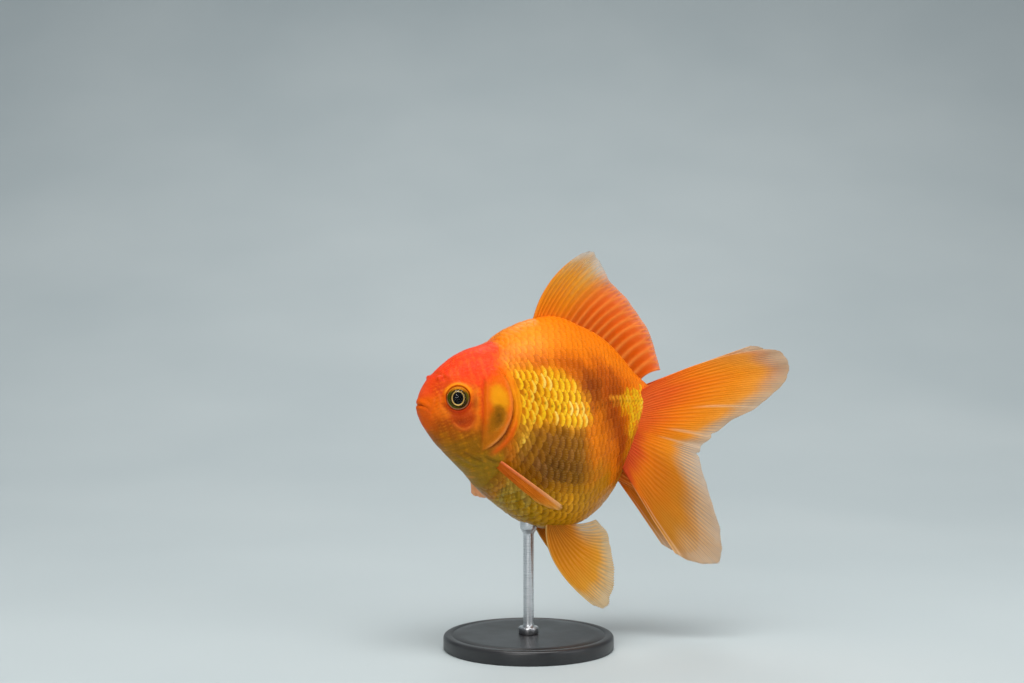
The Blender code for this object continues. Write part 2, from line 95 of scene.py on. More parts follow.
PELVIC = (((55.2, -50), (58.0, -67.4), (74.9, -85.9)), ((56.0, -50), (62.0, -69), (79.6, -87.1)),
          ((57, -50.4), (66.4, -68.4), (82.5, -84.2)), ((58, -50.4), (69.6, -66.2), (84.9, -77.4)),
          ((59.3, -50.4), (71.9, -62.8), (85.4, -68.5)), ((60.2, -50.5), (72.3, -58.7), (85, -61.2)),
          ((61.2, -50.2), (71.7, -54.9), (83.2, -54.6)), ((61.8, -49.4), (70.2, -51.3), (79.2, -49.7)))
PELVIC_RIGHT = (((57, -49), (67.0, -65.2), (84.5, -79.5)), ((58, -49), (70.0, -65.4), (88.0, -79.6)),
                ((59, -49.4), (73.0, -63.6), (90.0, -76.0)), ((60, -49.4), (75.0, -61.0), (91.4, -70.0)),
                ((61, -49.4), (75.6, -57.8), (90.6, -63.6)), ((62, -49.4), (74.5, -54.6), (87.4, -58.0)))
PELVIC_OUT, PELVIC_LEAN, PELVIC_LEAN_RIGHT = 8.4, 10.0, -2.0
ANAL = (((91.5, -33.5), (99.5, -37.5), (108, -43.0)), ((93, -31.5), (101.5, -36.5), (111, -41.0)),
        ((94.5, -29), (103, -33.6), (112.5, -37.0)), ((96, -26), (103.5, -29.8), (112, -32.0)),
        ((97.5, -22.6), (103, -25.4), (109.5, -27.0)))
ANAL_OUT, ANAL_LEAN = 1.9, 2.0
PECTORAL_LEFT = (((27.6, 13.8, -20.3), (37.8, 26.0, -30.3), (53.0, 26.6, -41.2)),
                 ((27.5, 13.6, -21.0), (37.6, 25.4, -32.0), (52.3, 25.8, -42.8)),
                 ((27.4, 13.4, -21.8), (36.2, 24.6, -33.0), (47.6, 25.0, -41.9)),
                 ((27.2, 13.1, -22.6), (34.5, 23.2, -32.2), (41.6, 24.0, -38.6)),
                 ((27.0, 12.8, -23.4), (32.5, 21.2, -30.8), (35.8, 22.8, -34.0)))
PECTORAL_RIGHT = (((27.6, 13.8, -20.3), (37.1, 27.6, -32.1), (40.9, 33.5, -41.0)),
                  ((27.5, 13.6, -21.0), (38.2, 27.0, -34.3), (42.5, 32.6, -42.2)),
                  ((27.4, 13.4, -21.8), (39.4, 25.8, -35.6), (45.0, 31.2, -42.7)),
                  ((27.2, 13.1, -22.6), (40.4, 24.2, -36.0), (47.5, 29.4, -42.9)),
                  ((27.0, 12.8, -23.4), (40.6, 22.4, -36.0), (50.1, 27.6, -42.1)))

# The stand.
BASE_RADIUS, BASE_HEIGHT, ROD_RADIUS, COLLAR_RADIUS, COLLAR_HEIGHT, CUP_RADIUS = 36.0, 6.0, 2.2, 4.2, 3.0, 3.6
GAP = 0.3

# ---------------------------------------------------------------- lines of the head and flank, as (s, h)
MOUTH = ((0, 0.3), (0.4, 0.3), (0.9, 0.0), (2.1, -0.8), (3.3, -2.0))
LIP_FOLD = ((3.3, -2.2), (4.3, -0.4), (4.9, 2.0), (4.7, 4.6))
CHIN_FOLD = ((3.4, -2.4), (4.4, -5.2), (6.4, -9.4), (9.6, -13.4))
UNDER_EYE = ((9.8, -5.5), (11.2, -7.3), (13.8, -9.3), (15.8, -9.5), (17.3, -8.2), (18.4, -5.0))
CHEEK_GROOVE = ((22.6, 11.6), (22.0, 8.0), (21.4, 2.5), (21.5, -5.6), (21.7, -12.9), (21.1, -17.9))
CHEEK_BAND = ((19.7, 10.5), (19.0, 2.5), (19.0, -5.6), (18.5, -12.5))
GILL_EDGE = ((26.5, 15.4), (28.3, 15.2), (29.8, 13.8), (31.2, 10.5), (32.4, 6.0), (32.8, 2.4), (32.5, -1.6),
             (31.9, -4.8), (31.3, -6.8), (29.5, -10.9), (27.5, -13.8), (25.2, -16.2), (22.4, -18.6))
GILL_PLATE = ((22.4, 11.0), (24.2, 14.2), (26.5, 15.4), (28.3, 15.2), (29.8, 13.8), (31.2, 10.5), (32.4, 6.0),
              (32.8, 2.4), (32.5, -1.6), (31.9, -4.8), (31.3, -6.8), (29.5, -10.9), (27.5, -13.8), (25.2, -16.2),
              (22.2, -18.2), (21.7, -12.9), (21.5, -5.6), (21.4, 2.5))
GILL_YELLOW = ((24.6, 7.4), (27.6, 8.6), (30.6, 5.4), (31.2, 0.6), (29.6, -1.6), (25.0, -0.6), (23.8, 3.0))
GILL_DARK = ((25.6, 0.4), (29.0, -0.2), (30.6, -3.2), (29.4, -7.4), (26.2, -10.8), (23.8, -10.6), (23.4, -5.4))
THROAT_FOLDS = (((23.0, -20.6), (26.6, -22.3), (29.6, -22.9)), ((15.5, -18.6), (20.0, -21.4), (24.6, -23.4)),
                ((13.0, -19.4), (18.0, -23.4), (23.0, -26.0)))
RED_CAP = ((-4, 2.0), (2.6, 4.4), (6.0, 5.6), (9.0, 8.4), (13.0, 9.8), (17.6, 9.4), (20.2, 6.6), (20.8, 0), (21.2, -4),
           (23.2, -3), (23.2, 5), (24.4, 10.6), (27.4, 14.6), (28.2, 17.2), (29.6, 21.0), (32.4, 23.0), (32.4, 44),
           (-4, 44))
SCALES_FROM = ((29.2, 60), (29.2, 24), (30.6, 19), (33.0, 14), (35.0, 7), (35.5, 0), (34.9, -6), (32.8, -12),
               (29.6, -17), (30.4, -22), (29.0, -27), (27.0, -31), (26.4, -60))
LATERAL_LINE = ((0, 9), (30, 9), (37, 5.2), (42.3, 3.1), (48.4, 0), (54.7, -1.1), (62, -1.8), (70, -1.2), (78, 0.4),
                (86, 0.9), (96, 0.6), (108, 0.5))
GOLD = ((32.0, 12.5), (35.6, 18.4), (41.6, 17.6), (53.9, 14.6), (61.2, 10.0), (65.6, 3.0), (67.4, -6.3), (64.3, -10.4),
        (51.5, -10.0), (43.0, -9.4), (38.6, -11.6), (36.2, -18.0), (33.0, -16.0))
DARK = ((36.4, -10.6), (43.0, -8.2), (51.4, -9.1), (63.2, -10.3), (65.8, -18.6), (66.6, -27.0), (57.7, -33.4),
        (45.2, -33.0), (36.8, -27.2), (33.0, -19.0))
UPPER_FLANK = ((34.0, 22.0), (42.0, 23.6), (56.0, 24.4), (66.0, 20.0), (71.0, 12.0), (66.8, -2.0), (64.4, 2.0),
               (60.2, 9.4), (53.9, 13.4), (41.6, 16.6), (35.6, 18.4))
FLANK_EDGE = ((69.6, 21.0), (70.9, 18.3), (72.5, 10.0), (73.8, 1.7), (76.0, -6.7), (79.4, -15.2), (84.2, -24.1),
              (85.1, -33.0), (83.6, -40.0))
BEHIND_FLANK = ((73.4, 20.0), (82.0, 15.0), (87.0, 6.0), (88.0, -6.0), (92.6, -14.0), (92.6, -26.0), (88.6, -34.0),
                (86.8, -24.0), (82.0, -15.2), (78.4, -6.7), (76.0, 1.7), (74.6, 10.0))
ROOT_GOLD = ((85.4, 1.6), (89.4, 4.0), (94.0, 5.4), (100.2, 5.0), (103.6, 2.4), (103.0, -2.7), (98.6, -9.4),
             (95.2, -14.6), (92.4, -13.0), (93.6, -6.4), (89.7, -3.4))


def rgb(r, g, b):
    """A colour named by its 0-255 display values, as linear light."""
    return np.array([c / 3294.6 if c < 10.3 else ((c / 255 + 0.055) / 1.055) ** 2.4 for c in (r, g, b)])


SCARLET, VERMILION, ORANGE, TANGERINE = rgb(242, 62, 22), rgb(236, 78, 8), rgb(234, 98, 2), rgb(248, 128, 8)
AMBER, GOLD_LIGHT, GOLD_DEEP, LEMON = rgb(230, 122, 2), rgb(240, 160, 12), rgb(216, 126, 2), rgb(252, 196, 60)
RUST, CHESTNUT, BROWN, UMBER = rgb(190, 70, 6), rgb(150, 62, 4), rgb(128, 84, 20), rgb(92, 60, 14)
OLIVE, OLIVE_LIGHT, MUSTARD, SILVER = rgb(128, 92, 4), rgb(166, 124, 8), rgb(196, 128, 4), rgb(196, 190, 118)
PEACH, PINK, CORAL, CREAM = rgb(238, 150, 96), rgb(230, 140, 116), rgb(228, 84, 44), rgb(244, 214, 172)
PALE, GREYED = rgb(226, 214, 196), rgb(196, 190, 178)


# ---------------------------------------------------------------- the fish's own shape
def through(table, at):
    """Values of a table at the places asked for, along a smooth curve that never overshoots its points."""
    x, y = (np.array(column, float) for column in zip(*table))
    x, at = np.sqrt(x), np.sqrt(np.maximum(np.asarray(at, float), 0.0))
    step = np.diff(x)
    slope = np.diff(y) / step
    tangent = np.array([slope[0]] + [0.0] * (len(x) - 2) + [slope[-1]])
    for i in range(1, len(x) - 1):
        if slope[i - 1] * slope[i] > 0:
            a, b = 2 * step[i] + step[i - 1], step[i] + 2 * step[i - 1]
            tangent[i] = (a + b) / (a / slope[i - 1] + b / slope[i])
    i = np.clip(np.searchsorted(x, at) - 1, 0, len(x) - 2)
    t = np.clip((at - x[i]) / step[i], 0.0, 1.0)
    return ((2 * t**3 - 3 * t**2 + 1) * y[i] + (t**3 - 2 * t**2 + t) * step[i] * tangent[i]
            + (3 * t**2 - 2 * t**3) * y[i + 1] + (t**3 - t**2) * step[i] * tangent[i + 1])


def sway(s):
    """How far the middle of the body has swung to the fish's left, at s."""
    return -SWAY * np.maximum(0.0, (np.asarray(s, float) - SWAY_FROM) / (LENGTH - SWAY_FROM)) ** 2


def body(s, a):
    """Points of the body's surface: a is the angle round it, 90 degrees at the back and 180 on the left."""
    s, a = np.broadcast_arrays(np.asarray(s, float), np.asarray(a, float))
    top, bottom, half = through(TOP, s), through(BOTTOM, s), through(HALF_WIDTH, s)
    widest = np.clip(through(WIDEST, s), bottom + 0.3 * (top - bottom), top - 0.3 * (top - bottom))
    c, d = np.cos(a), np.sin(a)
    power = np.where(d > 0, through(BACK_RIDGE, s), through(BELLY_KEEL, s))
    y = sway(s) + half * np.sign(c) * np.abs(c) ** power
    h = widest + np.where(d > 0, top - widest, widest - bottom) * d
    return np.stack((s, y, h), -1)


def outward(s, a):
    """The body's surface and its outward normals."""
    s, a = np.broadcast_arrays(np.asarray(s, float), np.asarray(a, float))
    low, high = np.maximum(s - 0.12, 0.0), np.minimum(s + 0.12, LENGTH)
    along = body(high, a) - body(low, a)
    round_it = body(s, a + 0.01) - body(s, a - 0.01)
    n = np.cross(round_it, along)
    return body(s, a), n / np.maximum(np.linalg.norm(n, axis=-1, keepdims=True), 1e-12)


def placed(p):
    """Points of the fish's frame, in metres in the shared frame."""
    return (np.asarray(p, float) + (SNOUT_X, 0.0, MOUTH_Z)) * MM


def soft(x, low=0.0, high=1.0):
    t = np.clip((np.asarray(x, float) - low) / (high - low), 0.0, 1.0)
    return t * t * (3 - 2 * t)


def bump(x, width):
    return np.exp(-(np.asarray(x, float) / width) ** 2)


def near(line, s, h):
    """How far a place is from a line, how far along the line, and on which side of it."""
    line = np.array(line, float)
    best = np.full(np.shape(s), 1e9)
    part, side = np.zeros_like(best), np.zeros_like(best)
    lengths = np.hypot(*np.diff(line, axis=0).T)
    so_far = np.concatenate([[0.0], np.cumsum(lengths)])
    for k in range(len(line) - 1):
        (s0, h0), (s1, h1) = line[k], line[k + 1]
        ds, dh = s1 - s0, h1 - h0
        t = np.clip(((s - s0) * ds + (h - h0) * dh) / (lengths[k] ** 2), 0, 1)
        rs, rh = s - (s0 + t * ds), h - (h0 + t * dh)
        dist = np.hypot(rs, rh)
        closer = dist < best
        best = np.where(closer, dist, best)
        part = np.where(closer, (so_far[k] + t * lengths[k]) / so_far[-1], part)
        side = np.where(closer, np.sign(ds * rh - dh * rs), side)
    return best, part, side


def inside(outline, s, h, blur):
    """1 well inside an outline, 0 well outside it, and soft between."""
    line = np.array(outline, float)
    within = np.zeros(np.shape(s), bool)
    for (s0, h0), (s1, h1) in zip(line, np.roll(line, -1, 0)):
        if h0 != h1:
            within ^= ((h0 > h) != (h1 > h)) & (s < (s1 - s0) * (h - h0) / (h1 - h0) + s0)
    dist = near(np.vstack([line, line[:1]]), s, h)[0]
    return soft(np.where(within, dist, -dist), -blur, blur)


def drift(s, h, size, seed):
    """A slow, even wander between -1 and 1, about size across."""
    k = 2 * math.pi / size
    a, b, c = seed * 1.7, seed * 2.9, seed * 4.3
    return (np.sin(k * (0.9 * s + 0.45 * h) + a) + np.sin(k * (-0.5 * s + 0.95 * h) * 1.31 + b)
            + np.sin(k * (0.3 * s - 0.7 * h) * 1.83 + c + 1.3 * np.sin(k * 0.6 * s + a))) / 3


def line_at(table, h):
    """The s of a line given as (s, h) with h falling, at h."""
    s, hh = (np.array(v, float) for v in zip(*table))
    return np.interp(-np.asarray(h, float), -hh, s)


def eye_place(p, side):
    """Distance from an eye's axis, height along it, and how far up round it a place lies."""
    centre = np.array((EYE[0], side * EYE[1], EYE[2]))
    axis = np.array((EYE_AXIS[0], side * EYE_AXIS[1], EYE_AXIS[2]))
    axis /= np.linalg.norm(axis)
    q = p - centre
    z = q @ axis
    flat = q - z[..., None] * axis
    r = np.linalg.norm(flat, axis=-1)
    return r, z, flat[..., 2] / np.maximum(r, 1e-6)


def eye_near(p):
    """The same for whichever eye is nearer."""
    r0, z0, up0 = eye_place(p, -1)
    r1, z1, up1 = eye_place(p, 1)
    left = p[..., 1] < 0
    return np.where(left, r0, r1), np.where(left, z0, z1), np.where(left, up0, up1)


# ---------------------------------------------------------------- the relief of the skin
def relief(p):
    """How far the skin stands out from the plain body, in millimetres."""
    s, y, h = p[..., 0], p[..., 1], p[..., 2]
    out = np.abs(y)
    up = np.zeros(s.shape)
    head = s < 45
    # Mouth: a slit between two rounded lips.
    line = np.interp(s, *zip(*MOUTH))
    fade = soft(s, 3.6, 1.6)
    gap = h - line
    deep = soft(s, 1.5, 0.3)
    up += fade * (0.22 * bump(gap - 1.3, 0.85) + 0.26 * bump(gap + 1.4, 0.9))
    up -= fade * bump(gap, 0.32) * (0.10 + 0.62 * deep)
    up += 0.2 * bump(gap + 3.4, 1.3) * soft(s, 5.0, 2.0) - 0.1 * bump(gap - 3.1, 0.7) * soft(s, 4.0, 2.4)
    d, t, _ = near(LIP_FOLD, s, h)
    up -= 0.13 * bump(d, 0.6) * soft(t, 1.05, 0.5)
    up += 0.08 * bump(d - 1.0, 0.6) * soft(t, 1.05, 0.5)
    d, t, _ = near(CHIN_FOLD, s, h)
    up -= 0.14 * bump(d, 0.6) * soft(t, 1.0, 0.6)
    # Nostrils: a raised flap with a pit behind it and a smaller one before it.
    def ball(cs, cy, ch, ws, wy, wh):
        return np.exp(-((s - cs) / ws) ** 2 - ((out - cy) / wy) ** 2 - ((h - ch) / wh) ** 2)
    up += 1.15 * ball(7.4, 5.0, 10.9, 1.05, 1.35, 1.2)
    up -= 0.95 * ball(8.9, 5.7, 10.9, 0.75, 1.0, 0.9)
    up += 0.25 * ball(10.2, 6.1, 11.2, 0.9, 1.6, 1.6)
    # Eye sockets, with a fleshy lid, heavier above.
    r, z, high = eye_near(p)
    facing = soft(z, -1.5, 0.5) * (s < 26)
    up += facing * (0.42 * bump(r - 5.35, 0.5) + 0.3 * np.clip(high, 0, 1) * bump(r - 5.5, 0.8)
                    - 0.28 * bump(r - 6.9, 0.7) * (0.55 - 0.45 * high) - 3.2 * soft(r, 5.0, 4.35))
    # The ring of small bones under the eye, the cheek and the groove before the gill cover.
    d, t, _ = near(UNDER_EYE, s, h)
    up += 0.34 * bump(d, 0.5) * soft(t, 0, 0.15) * soft(t, 1, 0.85)
    up -= 0.22 * np.exp(-((s - 14.3) / 2.4) ** 2 - ((h + 5.6) / 1.7) ** 2)
    d, t, _ = near(CHEEK_GROOVE, s, h)
    up -= 0.6 * bump(d, 0.55) * soft(t, 0, 0.12) * soft(t, 1, 0.8)
    d, t, _ = near(CHEEK_BAND, s, h)
    up += 0.38 * bump(d, 1.2) * soft(t, 0, 0.15) * soft(t, 1, 0.85)
    up += 0.5 * np.exp(-((s - 13.0) / 4.5) ** 2 - ((h + 12.5) / 4.5) ** 2)
    # The gill cover: a plate whose free rear edge stands over a deep groove.
    plate = inside(GILL_PLATE, s, h, 0.7)
    up += 0.55 * plate
    up += 0.25 * plate * bump(near(GILL_DARK, s, h)[0], 1.0)
    up -= 0.35 * inside(GILL_DARK, s, h, 1.6)
    d, t, side = near(GILL_EDGE, s, h)
    beyond = (side > 0) * head * soft(t, 0, 0.1)
    within_ = (side < 0) * head * soft(t, 0, 0.1)
    up += 0.38 * within_ * bump(d - 0.7, 0.55)
    up -= beyond * (0.80 * bump(d - 0.4, 0.40) + 0.4 * bump(d - 1.1, 1.1)) * soft(t, 1.0, 0.86) * (0.4 + 0.6 * soft(t, 0.25, 0.6))
    for k, fold in enumerate(THROAT_FOLDS):
        d, t, _ = near(fold, s, h)
        up -= (0.42, 0.24, 0.16)[k] * bump(d, 0.6) * soft(t, 0, 0.15) * soft(t, 1, 0.85)
        up += (0.3, 0.2, 0.15)[k] * bump(d - 1.2, 0.8) * soft(t, 0, 0.15) * soft(t, 1, 0.85)
    # The shoulder behind the gill, and the pad that the pectoral fin grows from.
    first = line_at(SCALES_FROM, h)
    up += 0.35 * bump(s - first + 1.2, 0.9) * soft(h, -20, -14) * soft(h, 16, 8)
    up += 0.9 * np.exp(-((s - 28.0) / 3.0) ** 2 - ((h + 22.6) / 3.2) ** 2)
    up -= 0.5 * np.exp(-((s - 31.4) / 1.6) ** 2 - ((h + 19.4) / 1.8) ** 2)
    # Low pebbling on the crown, and slow unevenness of the flesh.
    crown = soft(h, 8, 15) * soft(s, 32, 27) * soft(s, 4, 9)
    up += crown * (0.07 * drift(s, out * 1.3, 1.9, 3) + 0.06 * drift(s, out * 1.2, 1.15, 5))
    up += 0.11 * drift(s, h, 8.0, 1) * soft(s, 2, 8) * head
    up += 0.035 * drift(s, h, 1.5, 9) * soft(s, 2, 8) * soft(r, 5.6, 7.0) * head
    return up


def scaled(s, h):
    """1 where scales cover the skin."""
    return soft(s - line_at(SCALES_FROM, h), 0.1, 1.9) * soft(s, 107.4, 105.6)


# ---------------------------------------------------------------- the markings and the painted light and shade, shared by the skin and the scales
def markings_and_painted_light(p):
    """Colour, with painted light and shade, and how metallic the sheen is, at places on the body."""
    s, y, h = p[..., 0], p[..., 1], p[..., 2]
    level = (h - through(BOTTOM, s)) / (through(TOP, s) - through(BOTTOM, s))
    wob = drift(s, h, 13.0, 2)
    fine = drift(s, h, 3.1, 7)
    colour = np.zeros(s.shape + (3,)) + ORANGE
    metal = np.zeros(s.shape)

    def lay(new, w):
        nonlocal colour
        colour = colour + (new - colour) * np.clip(w, 0, 1)[..., None]

    def sheen(value, w):
        nonlocal metal
        metal = metal + (value - metal) * np.clip(w, 0, 1)

    # Trunk: bright orange back, amber flank, olive-gold belly.
    trunk = soft(s, 27, 34)
    lay(TANGERINE, trunk * soft(level, 0.62, 0.88))
    lay(AMBER, trunk * soft(level, 0.78, 0.6))
    lay(MUSTARD, trunk * soft(level + 0.05 * wob, 0.36, 0.2))
    lay(OLIVE_LIGHT, trunk * soft(level + 0.04 * wob, 0.24, 0.1) * soft(s, 76, 60))
    lay(rgb(250, 142, 16), trunk * bump(s - 46, 11) * soft(level, 0.76, 0.92))
    sheen(0.25, trunk)
    sheen(0.12, trunk * soft(level, 0.75, 0.9))
    w = inside(UPPER_FLANK, s + 1.6 * fine, h + 2.6 + 1.4 * wob, 4.4)
    lay(rgb(212, 100, 2), 0.8 * w)
    lay(rgb(176, 76, 2), 0.85 * w * soft(s, 50, 60))
    lay(rgb(132, 56, 2), (0.82 + 0.18 * fine) * np.exp(-((s - 69.5) / 8.0) ** 2 - ((h - 8) / 7.0) ** 2))
    lay(rgb(168, 80, 4), 0.55 * np.exp(-((s - 81) / 5.5) ** 2 - ((h + 15) / 9.0) ** 2))
    lay(rgb(212, 104, 4), 0.65 * np.exp(-((s - 33.5) / 3.2) ** 2 - ((h - 15) / 7.0) ** 2))
    w = inside(GOLD, s + 1.6 * fine, h + 1.6 * wob, 2.4)
    lay(rgb(232, 144, 4), w)
    lay(rgb(250, 178, 22), w * (0.30 + 0.35 * soft(s, 44, 56)))
    sheen(0.9, w)
    d, t, _ = near(((37, 16.8), (45, 17.2), (53, 16.6), (58, 15.2), (63, 12.0)), s, h + 0.8 * fine)
    lay(rgb(208, 102, 2), 0.85 * bump(d, 2.5))
    sheen(0.2, bump(d, 2.5))
    # The dark lower flank: partly darker pigment, partly a painted dark reflection in the scales that face down.
    w = inside(DARK, s + 2.0 * fine, h + 1.6 * wob, 4.0)
    streak = drift(s, 0.22 * h, 3.6, 4)
    lay(rgb(164, 106, 6), w)
    lay(rgb(128, 76, 4), w * (0.55 + 0.45 * streak))
    lay(rgb(110, 64, 4), (0.55 + 0.35 * streak) * np.exp(-((s - 51) / 8.5) ** 2 - ((h + 19) / 7.5) ** 2))
    lay(rgb(80, 50, 4), (0.68 + 0.3 * fine) * np.exp(-((s - 49) / 7.5) ** 2 - ((h + 27) / 5.5) ** 2))
    lay(rgb(88, 56, 4), (0.62 + 0.3 * fine) * np.exp(-((s - 59) / 8.5) ** 2 - ((h + 30) / 5.8) ** 2))
    lay(rgb(158, 108, 62), 0.45 * w * soft(drift(s, 0.3 * h, 2.2, 33), 0.15, 0.8))
    sheen(0.42, w)
    # Painted glints low at the front of the flank.
    w = np.exp(-((s - 36.6) / 2.4) ** 2 - ((h + 12.6) / 5.6) ** 2) * soft(drift(s, h, 1.7, 35), -0.35, 0.25)
    lay(rgb(240, 184, 50), 0.95 * w)
    sheen(1.0, w)
    d, t, side = near(FLANK_EDGE, s + 0.8 * wob, h)
    lay(TANGERINE, 0.85 * bump(d, 3.0) * soft(h, -40, -28) * soft(h, -3.0, -8.5))
    # Darker brown beside and behind the flank's bulge: painted shade where the rear body turns away.
    lay(rgb(140, 60, 2), 0.75 * np.exp(-((s - 77.5) / 4.8) ** 2 - ((h + 5.5) / 6.5) ** 2))
    lay(rgb(134, 56, 2), 0.7 * np.exp(-((s - 71.5) / 5.0) ** 2 - ((h - 4.5) / 6.0) ** 2))
    w = inside(BEHIND_FLANK, s + 1.8 * wob, h + 1.8 * fine, 4.0)
    lay(rgb(188, 84, 6), w)
    lay(CHESTNUT, w * (0.5 + 0.35 * fine) * soft(h, 14, 2))
    sheen(0.3, w)
    lay(rgb(238, 122, 24), soft(s, 99, 104.5) * soft(level, 0.3, 0.5))
    lay(CORAL, soft(s, 96, 104) * soft(level, 0.62, 0.3))
    lay(rgb(146, 60, 2), 0.65 * np.exp(-((s - 87) / 5.5) ** 2 - ((h - 7.0) / 3.6) ** 2))
    d, t, _ = near(((79, 2.6), (86, 2.4), (92, 1.2)), s, h + 0.4 * fine)
    lay(rgb(246, 164, 40), 0.75 * bump(d, 0.8))
    sheen(0.8, bump(d, 0.8))
    w = inside(ROOT_GOLD, s + 0.8 * fine, h + 0.9 * fine, 1.6) * (0.15 + 0.85 * soft(drift(s, h, 2.4, 13), -0.3, 0.2))
    lay(rgb(255, 214, 24), w)
    sheen(0.9, w)
    w = np.exp(-((s - 58) / 13.0) ** 2 - ((h + 43) / 8.0) ** 2)
    lay(rgb(206, 138, 14), 0.7 * w)
    sheen(0.7, w)
    # Silvery green glints low on the chest.
    w = bump(near(((26.5, -26.3), (24.3, -28.6), (32.3, -34.9), (38.5, -39.2), (47, -45)), s, h)[0], 4.4)
    lay(SILVER, 0.42 * w * soft(fine, 0.0, 0.5) * soft(s, 20, 26))
    sheen(0.6, w * soft(fine, 0.0, 0.5) * soft(s, 20, 26))
    flecks = drift(s, h, 2.1, 31)
    lay(rgb(88, 84, 8), 0.6 * w * soft(flecks, -0.05, -0.55) * soft(s, 20, 26))
    lay(rgb(222, 168, 34), 0.55 * w * soft(flecks, 0.15, 0.6) * soft(s, 20, 26))

    # Head: red crown, orange cheek, olive throat.
    head = 1 - trunk
    lay(ORANGE, head)
    patchy = drift(s, h, 4.6, 21)
    lay(rgb(200, 84, 2), head * soft(h + 1.2 * wob, -2.0, -8.0) * soft(s, 2.0, 8.0))
    lay(rgb(164, 86, 2), head * soft(h - 0.25 * s + 1.6 * wob + fine, -8.0, -14.5))
    lay(rgb(150, 98, 6), head * soft(h - 0.25 * s + 1.6 * wob, -13.5, -21.0))
    lay(rgb(146, 110, 16), head * soft(h - 0.1 * s + 1.2 * wob, -19.0, -25.5))
    lay(OLIVE_LIGHT, 0.5 * head * soft(h + 0.9 * s + fine, -8.4, -15.6) * soft(s, 3, 9))
    lay(rgb(188, 118, 6), 0.55 * head * soft(patchy, -0.2, 0.5) * np.exp(-((s - 11.0) / 5.0) ** 2 - ((h + 12.6) / 3.2) ** 2))
    lay(rgb(236, 96, 8), 0.5 * head * soft(patchy, -0.1, 0.6) * soft(h, -6, 0) * soft(s, 3, 7))
    lay(rgb(214, 84, 10), head * soft(s, 4.6, 2.0) * soft(h, 1.0, -2.0) * 0.8)
    lay(rgb(152, 68, 2), 0.6 * np.exp(-((s - 7.5) / 4.5) ** 2 - ((h + 7.2) / 2.8) ** 2))
    lay(rgb(232, 128, 14), 0.55 * head * soft(patchy + 0.5 * fine, 0.1, 0.7) * np.exp(-((s - 7.6) / 3.0) ** 2 - ((h + 3.4) / 1.8) ** 2))
    lay(rgb(240, 128, 22), 0.7 * head * np.exp(-((s - 8.2) / 2.6) ** 2 - ((h + 1.6) / 3.0) ** 2))
    d, t, _ = near(CHEEK_BAND, s, h)
    lay(rgb(244, 128, 20), 0.85 * bump(d, 1.5) * soft(t, 1.0, 0.7))
    w = inside(RED_CAP, s + 0.9 * fine + 0.9 * drift(s, h, 5.0, 25), h + 0.8 * wob, 2.5)
    lay(VERMILION, w)
    lay(SCARLET, w * soft(level, 0.55, 0.8))
    flecks = drift(s, np.abs(y) * 0.8 + 0.6 * h, 2.7, 23)
    lay(rgb(238, 96, 26), 0.42 * w * soft(flecks, 0.0, 0.7) * soft(s, 5, 10))
    lay(rgb(206, 50, 22), 0.25 * w * soft(flecks, -0.1, -0.7) * soft(s, 5, 10))
    lay(rgb(238, 92, 44), 0.6 * w * soft(s, 5.0, 1.5))
    lay(rgb(200, 66, 4), 0.72 * np.exp(-((s - 7.0) / 4.0) ** 2 - ((h - 7.4) / 3.4) ** 2))
    fleck = drift(s, h, 1.9, 27)
    flesh = head * soft(s, 2.5, 6.0) * soft(h, -16, -9) * soft(h, 12, 6)
    lay(rgb(244, 136, 22), 0.34 * flesh * soft(fleck + 0.3 * patchy, 0.2, 0.9))
    lay(rgb(160, 48, 4), 0.26 * flesh * soft(fleck + 0.3 * patchy, -0.25, -0.9))
    under = head * soft(h - 0.2 * s, -11, -16) * soft(s, 3, 7)
    lay(rgb(212, 138, 12), 0.50 * under * soft(0.7 * patchy + 0.6 * fleck, 0.15, 0.9))
    lay(rgb(92, 64, 4), 0.34 * under * soft(0.7 * patchy + 0.6 * fleck, -0.2, -1.0))
    d, t, _ = near(((7.4, 13.8), (10.0, 11.4), (9.2, 8.4)), s, h)
    lay(rgb(206, 62, 8), 0.6 * bump(d, 0.9))
    w = inside(UNDER_EYE + ((18.2, -2.0), (9.6, -2.6)), s + 0.5 * fine, h + 0.4 * fine, 1.5)
    lay(rgb(196, 64, 2), 0.85 * w)
    lay(rgb(150, 50, 2), 0.8 * w * np.exp(-((s - 13.6) / 3.0) ** 2 - ((h + 6.4) / 1.5) ** 2))
    lay(rgb(176, 58, 2), 0.6 * np.exp(-((s - 17.0) / 1.5) ** 2 - ((h + 5.6) / 2.4) ** 2))
    d, t, _ = near(UNDER_EYE, s, h)
    lay(rgb(226, 116, 34), 0.5 * bump(d - 0.2, 0.42) * soft(t, 0.98, 0.75) * soft(t, 0.05, 0.2))
